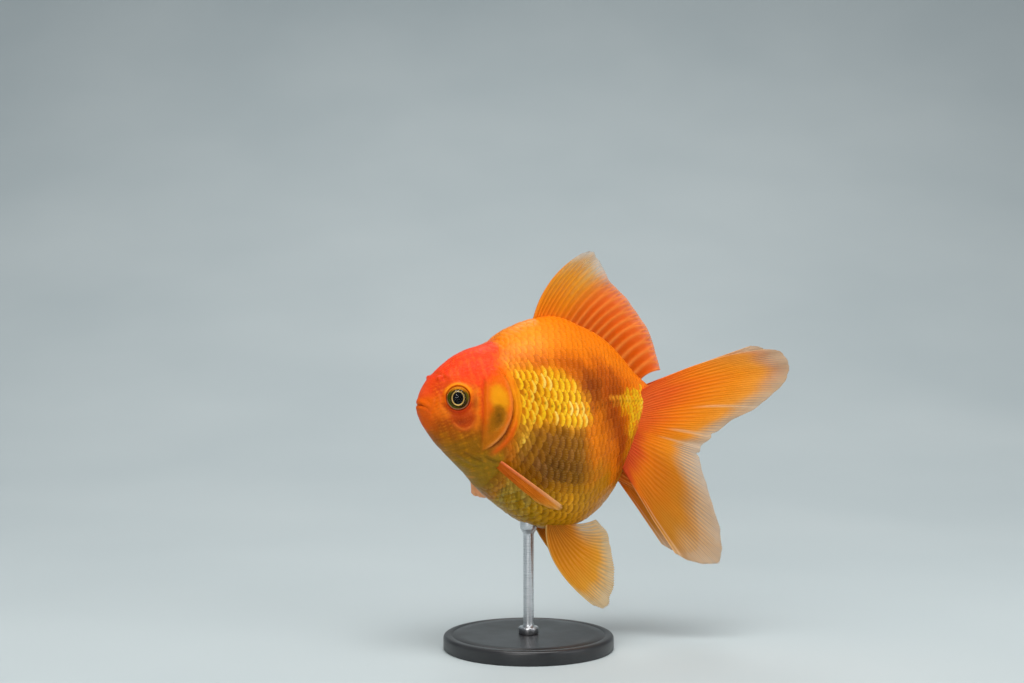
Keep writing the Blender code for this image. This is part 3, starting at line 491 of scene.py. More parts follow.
    # Painted shadow behind the eye's socket.
    lay(rgb(132, 42, 4), 0.6 * np.exp(-((s - 18.2) / 1.2) ** 2 - ((h - 1.4) / 3.2) ** 2))
    d, t, _ = near(CHEEK_GROOVE, s, h)
    lay(rgb(196, 56, 4), 0.8 * bump(d, 0.9) * soft(t, 0.02, 0.2) * soft(t, 0.85, 0.5))
    lay(rgb(150, 66, 4), 0.5 * bump(d, 0.8) * soft(t, 0.5, 0.7) * soft(t, 1, 0.85))
    plate = inside(GILL_PLATE, s, h, 0.8)
    lay(rgb(230, 104, 8), plate * soft(h, 12.5, 6.0) * soft(h, -15.0, -9.0))
    lay(rgb(196, 108, 8), 0.8 * plate * soft(h, -5, -12))
    w = inside(GILL_YELLOW, s, h + 0.6 * fine, 1.5)
    lay(rgb(236, 152, 14), w)
    sheen(0.5, w)
    w = inside(GILL_DARK, s + 0.4 * fine, h + 0.5 * fine, 1.5)
    lay(rgb(172, 104, 2), w)
    lay(rgb(158, 94, 4), 0.8 * np.exp(-((s - 24.4) / 1.7) ** 2 - ((h + 7.6) / 5.0) ** 2))
    lay(rgb(116, 72, 4), w * (0.85 + 0.25 * fine) * np.exp(-((s - 26.9) / 1.7) ** 2 - ((h + 4.6) / 4.0) ** 2))
    sheen(0.45, w)
    d, t, side = near(GILL_EDGE, s, h)
    rim = soft(t, 0.1, 0.25) * soft(t, 1.0, 0.88) * head_only(s)
    lay(rgb(238, 150, 74), rim * (side < 0) * bump(d - 0.5, 0.45) * (0.35 + 0.6 * soft(t, 0.5, 0.75)))
    # Painted shade in the groove under the gill cover's free edge.
    lay(rgb(126, 40, 2), rim * (side > 0) * bump(d - 0.4, 0.55) * (0.15 + 0.6 * soft(t, 0.3, 0.6)))
    lay(rgb(226, 92, 8), rim * (side > 0) * bump(d - 2.6, 1.2) * 0.9)
    # Painted shade in the throat's folds.
    for fold in THROAT_FOLDS[:2]:
        d, t, _ = near(fold, s, h)
        lay(rgb(98, 62, 6), 0.55 * bump(d, 0.55) * soft(t, 0, 0.3) * soft(t, 1, 0.7))
    # Painted shade in the mouth's slit and the nostril's pit, and painted light and shade round the eye.
    gap = h - np.interp(s, *zip(*MOUTH))
    lay(rgb(120, 26, 4), bump(gap, 0.30) * (0.5 * soft(s, 1.5, 0.5) + 0.10 * soft(s, 3.2, 2.0)))
    out = np.abs(y)
    pit = np.exp(-((s - 8.9) / 0.7) ** 2 - ((out - 5.7) / 0.9) ** 2 - ((h - 10.9) / 0.8) ** 2)
    lay(rgb(140, 26, 4), 0.75 * pit)
    r, z, high = eye_near(p)
    eye = (z > -1.5) * (s < 26)
    # A painted highlight on the upper lid, painted shade below the eye and in the socket round the ball.
    lay(rgb(246, 142, 14), eye * bump(r - 5.6, 0.85) * soft(high, 0.1, 0.6))
    lay(rgb(186, 36, 6), eye * bump(r - 5.6, 1.1) * soft(high, -0.05, -0.6) * 0.8)
    lay(rgb(96, 26, 6), eye * soft(r, 5.05, 4.6))
    return colour, metal


def head_only(s):
    return soft(s, 36, 33)


# ---------------------------------------------------------------- helpers for meshes and materials
def mesh_piece(name, points, faces, look, flat=False):
    """points in metres; faces a list of equal-sided index arrays."""
    mesh = bpy.data.meshes.new(name)
    mesh.vertices.add(len(points))
    mesh.vertices.foreach_set("co", np.asarray(points, np.float32).ravel())
    loops = np.concatenate([np.asarray(f, np.int32).ravel() for f in faces])
    sizes = np.concatenate([np.full(len(f), np.shape(f)[1], np.int32) for f in faces])
    mesh.loops.add(len(loops))
    mesh.loops.foreach_set("vertex_index", loops)
    mesh.polygons.add(len(sizes))
    mesh.polygons.foreach_set("loop_start", np.concatenate([[0], np.cumsum(sizes)[:-1]]).astype(np.int32))
    mesh.update(calc_edges=True)
    mesh.validate()
    mesh.polygons.foreach_set("use_smooth", np.full(len(mesh.polygons), not flat))
    mesh.materials.append(look)
    obj = bpy.data.objects.new(name, mesh)
    bpy.context.scene.collection.objects.link(obj)
    return obj


def paint(obj, **layers):
    """Stores per-point layers: three numbers as a colour, one as a plain value."""
    for name, values in layers.items():
        values = np.asarray(values, np.float32)
        if values.ndim == 2:
            layer = obj.data.attributes.new(name, "FLOAT_COLOR", "POINT")
            full = np.ones((len(values), 4), np.float32)
            full[:, :3] = values
            layer.data.foreach_set("color", full.ravel())
        else:
            layer = obj.data.attributes.new(name, "FLOAT", "POINT")
            layer.data.foreach_set("value", values)


def unwrap(obj, uv, name="OFBake"):
    """uv for each point, or for each face corner."""
    layer = obj.data.uv_layers.new(name=name)
    loops = np.empty(len(obj.data.loops), np.int32)
    obj.data.loops.foreach_get("vertex_index", loops)
    uv = np.asarray(uv, np.float32)
    layer.data.foreach_set("uv", (uv[loops] if len(uv) != len(loops) else uv).ravel())


def grid_faces(rows, columns, start=0, wrap=False):
    """Quads between rows of points; wrap joins each row's end to its start."""
    r = np.arange(rows - 1)[:, None] * columns
    c = np.arange(columns if wrap else columns - 1)[None, :]
    n = (c + 1) % columns
    return (start + np.stack([r + c, r + n, r + columns + n, r + columns + c], -1)).reshape(-1, 4)


class Look:
    """A material's node tree, with short ways to add to it."""

    def __init__(self, name):
        self.material = bpy.data.materials.new(name)
        self.material.use_nodes = True
        self.tree = self.material.node_tree
        self.shader = self.tree.nodes["Principled BSDF"]
        self.output = self.tree.nodes["Material Output"]

    def node(self, kind, **settings):
        made = self.tree.nodes.new(kind)
        for key, value in settings.items():
            setattr(made, key, value)
        return made

    def link(self, a, b):
        self.tree.links.new(a, b)

    def put(self, target, value):
        if hasattr(value, "is_output"):
            self.link(value, target)
        else:
            target.default_value = value

    def layer(self, name, out="Color"):
        return self.node("ShaderNodeAttribute", attribute_name=name).outputs[out]

    def noise(self, scale, detail=3.0, rough=0.55, vector=None, distortion=0.0):
        made = self.node("ShaderNodeTexNoise")
        made.inputs["Scale"].default_value = scale
        made.inputs["Detail"].default_value = detail
        made.inputs["Roughness"].default_value = rough
        made.inputs["Distortion"].default_value = distortion
        self.link(vector or self.place(), made.inputs["Vector"])
        return made.outputs["Fac"]

    def cells(self, scale, vector=None, feature="F1", out="Distance"):
        made = self.node("ShaderNodeTexVoronoi", feature=feature)
        made.inputs["Scale"].default_value = scale
        self.link(vector or self.place(), made.inputs["Vector"])
        return made.outputs[out]

    def place(self):
        return self.node("ShaderNodeTexCoord").outputs["Object"]

    def sum(self, kind, a, b, clamp=False):
        made = self.node("ShaderNodeMath", operation=kind, use_clamp=clamp)
        self.put(made.inputs[0], a)
        self.put(made.inputs[1], b)
        return made.outputs[0]

    def spread(self, value, low, high, to_low, to_high):
        made = self.node("ShaderNodeMapRange")
        for name, v in (("Value", value), ("From Min", low), ("From Max", high), ("To Min", to_low),
                        ("To Max", to_high)):
            self.put(made.inputs[name], v)
        return made.outputs["Result"]

    def mix(self, fac, a, b, kind="MIX"):
        made = self.node("ShaderNodeMix", data_type="RGBA", blend_type=kind)
        self.put(made.inputs[0], fac)
        for socket, value in ((made.inputs[6], a), (made.inputs[7], b)):
            self.put(socket, value if hasattr(value, "is_output") else (*value, 1.0))
        return made.outputs[2]

    def bumps(self, *pairs):
        """Bumps of (height, strength in mm), one laid on another."""
        normal = None
        for height, depth in pairs:
            made = self.node("ShaderNodeBump")
            made.inputs["Strength"].default_value = 1.0
            made.inputs["Distance"].default_value = depth * MM
            self.put(made.inputs["Height"], height)
            if normal is not None:
                self.link(normal, made.inputs["Normal"])
            normal = made.outputs["Normal"]
        self.link(normal, self.shader.inputs["Normal"])

    def set(self, **values):
        for name, value in values.items():
            self.put(self.shader.inputs[name.replace("_", " ")], value)


# ---------------------------------------------------------------- materials
def skin_look():
    look = Look("goldfish_skin")
    tint = look.layer("tint")
    mottle = look.noise(420, 4, 0.6)
    speck = look.noise(1900, 2, 0.5)
    tone = look.mix(look.spread(mottle, 0.3, 0.75, 0.0, 0.5), tint, (0.74, 0.60, 0.5), "MULTIPLY")
    tone = look.mix(look.spread(speck, 0.5, 0.72, 0.0, 0.22), tone, (0.95, 0.30, 0.03), "MIX")
    tone = look.mix(0.32, tone, tint)
    look.set(Base_Color=tone, Metallic=look.sum("MULTIPLY", look.layer("metal", "Fac"), 0.35),
             Roughness=look.spread(look.noise(700, 3), 0.3, 0.7, 0.34, 0.5))
    look.set(Coat_Weight=0.03, Coat_Roughness=0.16, Subsurface_Weight=0.08, Subsurface_Scale=0.001)
    look.shader.inputs["Specular IOR Level"].default_value = 0.07
    look.shader.inputs["Subsurface Radius"].default_value = (1.0, 0.35, 0.1)
    pores = look.spread(look.cells(1500), 0.0, 0.45, 0.0, 1.0)
    look.bumps((look.noise(260, 4, 0.6), 0.35), (pores, 0.07), (speck, 0.08))
    return look.material


def scale_look():
    look = Look("goldfish_scales")
    tint = look.layer("tint")
    across, along = look.layer("scale_across", "Fac"), look.layer("scale_along", "Fac")
    # Growth rings run round each scale, and fine radii fan back over it.
    rings = look.sum("SINE", look.sum("MULTIPLY", along, 60.0), 0.0)
    fan_lines = look.sum("MULTIPLY", look.sum("SINE", look.sum("MULTIPLY", across, 34.0), 0.0),
                         look.spread(along, 0.55, 0.8, 0.0, 1.0))
    mottle = look.noise(900, 3, 0.6)
    tone = look.mix(look.spread(mottle, 0.32, 0.72, 0.0, 0.55), tint, (0.66, 0.55, 0.42), "MULTIPLY")
    tone = look.mix(look.spread(fan_lines, 0.2, 1.0, 0.0, 0.05), tone, (1.0, 0.8, 0.4), "MIX")
    look.set(Base_Color=tone, Metallic=look.layer("metal", "Fac"),
             Roughness=look.spread(look.noise(1300, 3), 0.3, 0.7, 0.24, 0.42))
    look.set(Coat_Weight=0.04, Coat_Roughness=0.16)
    look.shader.inputs["Specular IOR Level"].default_value = 0.07
    look.bumps((look.noise(480, 3, 0.6), 0.16), (fan_lines, 0.010), (rings, 0.008), (look.noise(2600, 2), 0.05))
    return look.material


def fin_look():
    look = Look("goldfish_fin")
    tint, cover = look.layer("tint"), look.layer("cover", "Fac")
    mottle = look.noise(520, 4, 0.6)
    tone = look.mix(look.spread(mottle, 0.35, 0.7, 0.0, 0.35), tint, (0.75, 0.62, 0.5), "MULTIPLY")
    look.set(Base_Color=tone, Roughness=look.spread(look.noise(800, 2), 0.3, 0.7, 0.32, 0.5))
    look.shader.inputs["Specular IOR Level"].default_value = 0.07
    look.bumps((look.noise(700, 3), 0.10), (look.noise(2400, 2), 0.04))
    through_it = look.node("ShaderNodeBsdfTranslucent")
    look.link(tone, through_it.inputs["Color"])
    both = look.node("ShaderNodeMixShader")
    both.inputs[0].default_value = 0.26
    look.link(look.shader.outputs[0], both.inputs[1])
    look.link(through_it.outputs[0], both.inputs[2])
    clear = look.node("ShaderNodeBsdfTransparent")
    seen = look.node("ShaderNodeMixShader")
    look.link(look.sum("ADD", cover, look.spread(mottle, 0.3, 0.7, -0.05, 0.05), clamp=True), seen.inputs[0])
    look.link(clear.outputs[0], seen.inputs[1])
    look.link(both.outputs[0], seen.inputs[2])
    look.link(seen.outputs[0], look.output.inputs["Surface"])
    return look.material


def eye_look():
    look = Look("goldfish_eye")
    tint = look.layer("tint")
    streak = look.noise(1500, 3, 0.6)
    tone = look.mix(look.spread(streak, 0.35, 0.7, 0.0, 0.6), tint, (0.45, 0.42, 0.35), "MULTIPLY")
    look.set(Base_Color=tone, Metallic=look.layer("metal", "Fac"),
             Roughness=look.spread(streak, 0.3, 0.7, 0.32, 0.48))
    look.shader.inputs["Specular IOR Level"].default_value = 0.05
    look.bumps((look.sum("MULTIPLY", streak, look.layer("rough", "Fac")), 0.05))
    return look.material


def cornea_look():
    look = Look("goldfish_cornea")
    look.set(Base_Color=look.mix(look.noise(300), (1.0, 1.0, 1.0), (0.94, 0.96, 1.0)), Metallic=1.0,
             Roughness=look.spread(look.noise(250), 0.3, 0.7, 0.03, 0.06), Alpha=0.006)
    return look.material


def base_look():
    look = Look("stand_black_satin")
    grain = look.noise(1800, 3, 0.6)
    wear = look.noise(60, 4, 0.6)
    tone = look.mix(look.spread(wear, 0.35, 0.7, 0.0, 1.0), (0.014, 0.014, 0.016), (0.030, 0.030, 0.032))
    look.set(Base_Color=tone, Roughness=look.spread(wear, 0.3, 0.7, 0.30, 0.44))
    look.bumps((grain, 0.02))
    return look.material


def steel_look():
    look = Look("stand_brushed_steel")
    stretch = look.node("ShaderNodeMapping")
    stretch.inputs["Scale"].default_value = (1.0, 1.0, 40.0)
    look.link(look.place(), stretch.inputs["Vector"])
    brushed = look.noise(160, 3, 0.6, vector=stretch.outputs[0])
    tone = look.mix(look.spread(brushed, 0.3, 0.7, 0.0, 1.0), (0.50, 0.51, 0.53), (0.66, 0.67, 0.69))
    look.set(Base_Color=tone, Metallic=1.0, Roughness=look.spread(brushed, 0.3, 0.7, 0.24, 0.40))
    look.bumps((brushed, 0.01))
    return look.material


SKIN, SCALE, FIN = skin_look(), scale_look(), fin_look()
EYE_LOOK, CORNEA = eye_look(), cornea_look()
BLACK, STEEL = base_look(), steel_look()

# ---------------------------------------------------------------- the skin
HEAD_RINGS, TRUNK_RINGS, ROUND = 168, 86, 380
S_RINGS = np.concatenate([36.0 * np.linspace(0, 1, HEAD_RINGS) ** 1.7, np.linspace(36, LENGTH, TRUNK_RINGS)[1:]])
ANGLES = 2 * math.pi * (np.arange(ROUND) + 0.5) / ROUND
SKIN_UNDER_SCALES = 0.95


def skin_uv(s, a):
    """The skin cut along the belly and laid flat."""
    s, a = np.broadcast_arrays(np.asarray(s, float), np.asarray(a, float))
    turn = ((a - 1.5 * math.pi) / (2 * math.pi)) % 1.0
    return np.stack([0.02 + 0.96 * turn, 0.02 + 0.96 * s / (LENGTH + 2)], -1)


def make_skin():
    s, a = np.meshgrid(S_RINGS, ANGLES, indexing="ij")
    p, n = outward(s, a)
    up = relief(p) - SKIN_UNDER_SCALES * scaled(p[..., 0], p[..., 2])
    skin = p + n * up[..., None]
    colour, metal = markings_and_painted_light(p)
    # The rear end is rounded off between the halves of the tail.
    middle = skin[-1].mean(0)
    for back, keep in ((0.7, 0.86), (1.2, 0.55)):
        ring = middle + (skin[len(S_RINGS) - 1] - middle) * keep + (back, 0, 0)
        skin = np.concatenate([skin, ring[None]])
        colour = np.concatenate([colour, colour[-1:]])
        metal = np.concatenate([metal, metal[-1:]])
    rows = len(skin)
    points = np.concatenate([skin.reshape(-1, 3), [skin[0].mean(0)], [skin[-1].mean(0) + (0.15, 0, 0)]])
    colour = np.concatenate([colour.reshape(-1, 3), [colour[0].mean(0)], [colour[-1].mean(0)]])
    metal = np.concatenate([metal.ravel(), [0.0], [0.0]])
    k = np.arange(ROUND)
    nose, end = rows * ROUND, rows * ROUND + 1
    last = (rows - 1) * ROUND
    front = np.stack([np.full(ROUND, nose), (k + 1) % ROUND, k], -1)
    rear = np.stack([np.full(ROUND, end), last + k, last + (k + 1) % ROUND], -1)
    quads = grid_faces(rows, ROUND, wrap=True)
    obj = mesh_piece("skin", placed(points), [quads, front, rear], SKIN)
    paint(obj, tint=colour, metal=metal)
    # The cut along the belly has a corner of its own on each side.
    rings_s = np.concatenate([S_RINGS, [LENGTH + 1, LENGTH + 1.6]])
    turn = skin_uv(0.0, ANGLES)[:, 0]
    loops = np.empty(len(obj.data.loops), np.int32)
    obj.data.loops.foreach_get("vertex_index", loops)
    starts = np.empty(len(obj.data.polygons), np.int32)
    totals = np.empty(len(obj.data.polygons), np.int32)
    obj.data.polygons.foreach_get("loop_start", starts)
    obj.data.polygons.foreach_get("loop_total", totals)
    column, row = loops % ROUND, np.minimum(loops // ROUND, rows - 1)
    u = turn[column]
    v = 0.02 + 0.96 * rings_s[row] / (LENGTH + 2)
    centre = loops >= nose
    u = np.where(centre, np.nan, u)
    v = np.where(loops == nose, 0.012, np.where(loops == end, 0.992, v))
    face = np.repeat(np.arange(len(starts)), totals)
    low = np.full(len(starts), np.inf)
    high = np.full(len(starts), -np.inf)
    np.fmin.at(low, face, u)
    np.fmax.at(high, face, u)
    split = (high - low) > 0.5
    u = np.where(split[face] & (u < 0.5), u + 0.96, u)
    u = np.where(centre, (low[face] + high[face]) / 2, u)
    unwrap(obj, np.stack([u, v], -1))
    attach(obj, "root")
    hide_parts("head", "lower_jaw", "gill_cover_left", "gill_cover_right", "nostril_left", "nostril_right",
                "trunk", "tail_stalk")
    return obj


# ---------------------------------------------------------------- the scales
SCALE_PITCH, ROW_PITCH, SCALE_RADIUS = 2.80, 4.85, 5.36
T_STEP, T_REACH = 0.5, 150.0


def size_at(s):
    """How large the scales are at s: smaller behind the gill and towards the tail."""
    girth = (through(TOP, s) - through(BOTTOM, s)) + 2 * through(HALF_WIDTH, s)
    return (girth / 144.0) ** 0.42 * (0.74 + 0.26 * soft(s, 30, 42))


class Wrap:
    """Turns (s, t) into an angle round the body, where t is the length of skin up from the lateral line."""

    def __init__(self, side):
        self.s = np.linspace(20, LENGTH, 230)
        turns = np.linspace(-200, 200, 900)
        rows, middles = [], []
        for s in self.s:
            mid = through(LATERAL_LINE, s)
            # Up is towards the back: angles fall from the left side and rise from the right one.
            search = np.radians(np.linspace(100, 260, 600))
            found = body(np.full(600, s), search)
            start = search[np.argmin(np.abs(found[:, 2] - mid))]
            a = start - np.radians(turns)
            p = body(np.full(len(a), s), a)
            steps = np.linalg.norm(np.diff(p, axis=0), axis=1)
            t = np.concatenate([[0.0], np.cumsum(steps)])
            t -= np.interp(0.0, turns, t)
            grid = np.arange(-T_REACH, T_REACH + T_STEP, T_STEP)
            rows.append(np.interp(grid, t, a))
            middles.append((np.interp(-math.pi / 2 * 1.0, -a, t), np.interp(-1.5 * math.pi, -a, t)))
        self.table = np.array(rows)
        self.middles = np.array(middles)
        self.side = side

    def angle(self, s, t):
        i = np.clip((s - self.s[0]) / (self.s[1] - self.s[0]), 0, len(self.s) - 1.001)
        j = np.clip((t + T_REACH) / T_STEP, 0, self.table.shape[1] - 1.001)
        i0, j0 = i.astype(int), j.astype(int)
        fi, fj = i - i0, j - j0
        a = ((1 - fi) * (1 - fj) * self.table[i0, j0] + fi * (1 - fj) * self.table[i0 + 1, j0]
             + (1 - fi) * fj * self.table[i0, j0 + 1] + fi * fj * self.table[i0 + 1, j0 + 1])
        return a if self.side < 0 else math.pi - a

    def middle(self, s):
        return np.interp(s, self.s, self.middles[:, 0]), np.interp(s, self.s, self.middles[:, 1])


def make_scales(side, name):
    wrap = Wrap(side)
    columns = [24.0]
    while columns[-1] < 106.5:
        columns.append(columns[-1] + SCALE_PITCH * float(size_at(columns[-1])) * 0.5)
    centres = []
    for k, s in enumerate(columns):
        w = float(size_at(s))
        back, belly = wrap.middle(s)
        for row in range(-28, 29):
            if (row + k) % 2:
                continue
            t = row * ROW_PITCH * w
            if belly - 1.0 < t < back + 1.0:
                centres.append((s, t, w, row))
    centres = np.array(centres)
    p = body(centres[:, 0], wrap.angle(centres[:, 0], centres[:, 1]))
    first = line_at(SCALES_FROM, p[:, 2])
    ahead = centres[:, 0] + 2.6 * centres[:, 2] - first
    keep = (ahead > 0.0) & (centres[:, 0] < 104.5)
    # None where the pectoral fin's pad is.
    keep &= ~((np.hypot(p[:, 0] - 27.5, (p[:, 2] + 23.0)) < 3.6))
    centres, p = centres[keep], p[keep]
    count = len(centres)
    luck = RNG.random((count, 4))
    nu, nv = 9, 11
    u = np.linspace(0, 1, nu)
    u = 1 - (1 - u) ** 1.35
    v = np.linspace(-1, 1, nv)
    v = np.sign(v) * np.abs(v) ** 0.9
    U, V = np.meshgrid(u, v, indexing="ij")
    reach = 0.84
    eta = V * reach
    edge = np.sqrt(1 - eta**2)
    edge = edge * (1 + 0.015 * np.cos(9 * eta))
    xi = 0.02 + U * (edge - 0.02)
    R = SCALE_RADIUS * centres[:, 2]
    tilt = (luck[:, 0] - 0.5) * 0.10
    grow = 1 + (luck[:, 1] - 0.5) * 0.06
    x = R[:, None, None] * grow[:, None, None] * (xi * np.cos(tilt)[:, None, None] - eta * np.sin(tilt)[:, None, None])
    y = R[:, None, None] * grow[:, None, None] * (xi * np.sin(tilt)[:, None, None] + eta * np.cos(tilt)[:, None, None])
    s = centres[:, 0, None, None] + x
    t = centres[:, 3, None, None] * ROW_PITCH * size_at(np.minimum(s, LENGTH)) * 1.0
    t = t * 0.5 + centres[:, 1, None, None] * 0.5 + y
    s_in = np.minimum(s, LENGTH - 0.05)
    a = wrap.angle(s_in, t)
    base, n = outward(s_in, a)
    base[..., 0] = s
    w = centres[:, 2, None, None]
    # They lie smoother along the back.
    low = (base[..., 2] - through(BOTTOM, s_in)) / (through(TOP, s_in) - through(BOTTOM, s_in))
    calm = 1 - 0.4 * soft(low, 0.66, 0.84)
    lift = w * calm * (-0.66 + 0.58 * xi + 0.28 * (1 - (eta / 0.84) ** 2) - 0.14 * U**7)
    lift = lift + (luck[:, 2, None, None] - 0.5) * 0.10
    # Towards the lines where scales begin and end they lie flatter.
    start = line_at(SCALES_FROM, base[..., 2])
    lift = np.minimum(lift, -0.30 + 0.24 * soft(s - start, -0.8, 0.8) + 0.30 * np.maximum(s - start, 0))
    lift = lift - 0.5 * soft(s, 103.5, 107.5)
    top = base + n * lift[..., None]
    # The free edge turns down into the scale behind it, and a plain underside closes it.
    lip = base[:, -1] + n[:, -1] * (lift[:, -1] - 0.42)[..., None]
    left = base[:, :, 0] + n[:, :, 0] * (lift[:, :, 0] - 0.42)[..., None]
    right = base[:, :, -1] + n[:, :, -1] * (lift[:, :, -1] - 0.42)[..., None]
    rootrow = base[:, 0] + n[:, 0] * (lift[:, 0] - 0.42)[..., None]
    per_top = nu * nv
    points = np.concatenate([top.reshape(count, -1, 3), lip, rootrow, left[:, 1:-1], right[:, 1:-1]], 1)
    per = points.shape[1]
    faces = [grid_faces(nu, nv)]
    lip0, root0 = per_top, per_top + nv
    left0, right0 = per_top + 2 * nv, per_top + 2 * nv + nu - 2
    j = np.arange(nv - 1)
    faces.append(np.stack([(nu - 1) * nv + j, (nu - 1) * nv + j + 1, lip0 + j + 1, lip0 + j], -1))
    faces.append(np.stack([j + 1, j, root0 + j, root0 + j + 1], -1))
    low_left = np.concatenate([[root0], left0 + np.arange(nu - 2), [lip0]])
    low_right = np.concatenate([[root0 + nv - 1], right0 + np.arange(nu - 2), [lip0 + nv - 1]])
    i = np.arange(nu - 1)
    faces.append(np.stack([i * nv, (i + 1) * nv, low_left[i + 1], low_left[i]], -1))
    faces.append(np.stack([(i + 1) * nv + nv - 1, i * nv + nv - 1, low_right[i], low_right[i + 1]], -1))
    faces.append(np.stack([low_left[i], low_left[i + 1], low_right[i + 1], low_right[i]], -1)[1:-1])
    # The underside ends in fans to the lip and to the root.
    lip_fan = np.stack([np.full(nv - 1, low_left[-2]), lip0 + j, lip0 + j + 1], -1)
    lip_last = np.array([[low_left[-2], lip0 + nv - 1, low_right[-2]]])
    root_fan = np.stack([np.full(nv - 1, low_left[1]), root0 + j + 1, root0 + j], -1)
    root_last = np.array([[low_left[1], low_right[1], root0 + nv - 1]])
    quads = np.concatenate(faces)
    tris = np.concatenate([lip_fan, lip_last, root_fan, root_last])
    shift = (np.arange(count) * per)[:, None, None]
    quads = (quads[None] + shift).reshape(-1, 4)
    tris = (tris[None] + shift).reshape(-1, 3)
    if side > 0:
        quads, tris = quads[:, ::-1], tris[:, ::-1]
    # Colour: the markings at the scale with their painted light, then a painted highlight on the rear half, a dark root
    # that is partly painted shade, and a thin dark edge.
    mid = np.stack([base[:, nu * 2 // 3, nv // 2, k] for k in range(3)], -1)
    stray = (RNG.random((count, 3)) - 0.5) * (4.2, 0.0, 4.2)
    mid_colour, mid_metal = markings_and_painted_light(mid + stray)
    at_colour, at_metal = markings_and_painted_light(base)
    colour = 0.45 * mid_colour[:, None, None] + 0.55 * at_colour
    metal = 0.5 * mid_metal[:, None, None] + 0.5 * at_metal
    bright = (luck[:, 3, None, None] - 0.5)
    outer = xi / edge
    shine = np.clip(metal, 0.0, 1.0)
    shown = soft(outer, 0.50, 0.74)
    gleam = soft(outer, 0.62, 0.84) * (1 - soft(outer, 0.94, 1.0)) * (1 - 0.55 * np.abs(eta / 0.84) ** 2)
    field = drift(mid[:, 0], mid[:, 2], 5.2, 41)[:, None, None]
    # Metallic scales vary in brightness at random and in slow patches: painted variation in their reflection.
    colour = colour * (1 + (0.42 * bright + 0.16 * field) * shine)[..., None]
    # Darker at the root, by the edge of the scale in front: partly darker pigment, partly painted shade.
    depth = (0.07 + 0.90 * shine) * (1 - shown)
    colour = colour * (1 - np.array((0.34, 0.52, 0.6)) * depth[..., None])
    # Painted highlight over the rear of each scale, with a few paler painted sparkles.
    glint = np.minimum(colour * (1.10 + 0.8 * shine)[..., None], np.array((1.0, 0.60, 0.10)))
    spark = 0.75 * soft(shine, 0.6, 0.95) * soft(luck[:, 3, None, None] + 0.35 * field, 0.5, 1.1) * soft(outer, 0.70, 0.86)
    glint = glint + (np.array((1.0, 0.80, 0.24)) - glint) * spark[..., None]
    colour = colour + (glint - colour) * np.clip(gleam * (0.35 + 0.65 * shine), 0, 1)[..., None]
    colour = colour * (1 - np.array((0.2, 0.3, 0.3)) * ((0.10 + 0.80 * shine) * soft(outer, 0.95, 1.0))[..., None])
    # The lateral line: one pore on each scale of the middle row.
    pore = (centres[:, 3] == 0)[:, None, None] * np.exp(-((xi - 0.72) / 0.07) ** 2 - (eta / 0.07) ** 2)
    colour = colour * (1 - 0.7 * pore)[..., None]
    colour = np.clip(colour, 0.0, 1.0)
    metal = np.clip(metal * (0.16 + 0.24 * gleam), 0, 0.5)

    def fill(values):
        """The top's values, and those of its borders for the points below them."""
        flat = values.reshape((count, -1) + values.shape[3:])
        parts = [flat, values[:, -1], values[:, 0], values[:, 1:-1, 0], values[:, 1:-1, -1]]
        return np.concatenate(parts, 1).reshape((count * per,) + values.shape[3:])

    obj = mesh_piece(name, placed(points.reshape(-1, 3)), [quads, tris], SCALE)
    one = np.ones((count, 1, 1))
    paint(obj, tint=fill(colour), metal=fill(metal), scale_across=fill(np.arctan2(eta, xi + 0.2) * one),
          scale_along=fill((xi / edge) * one))
    root_a = wrap.angle(centres[:, 0], centres[:, 1])
    home = skin_uv(centres[:, 0], root_a)[:, None, None]
    patch = np.stack([eta * 0.0017 * one, (xi - 0.5) * 0.003 * one], -1)
    unwrap(obj, fill(home + patch))
    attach(obj, "root")
    return obj, count


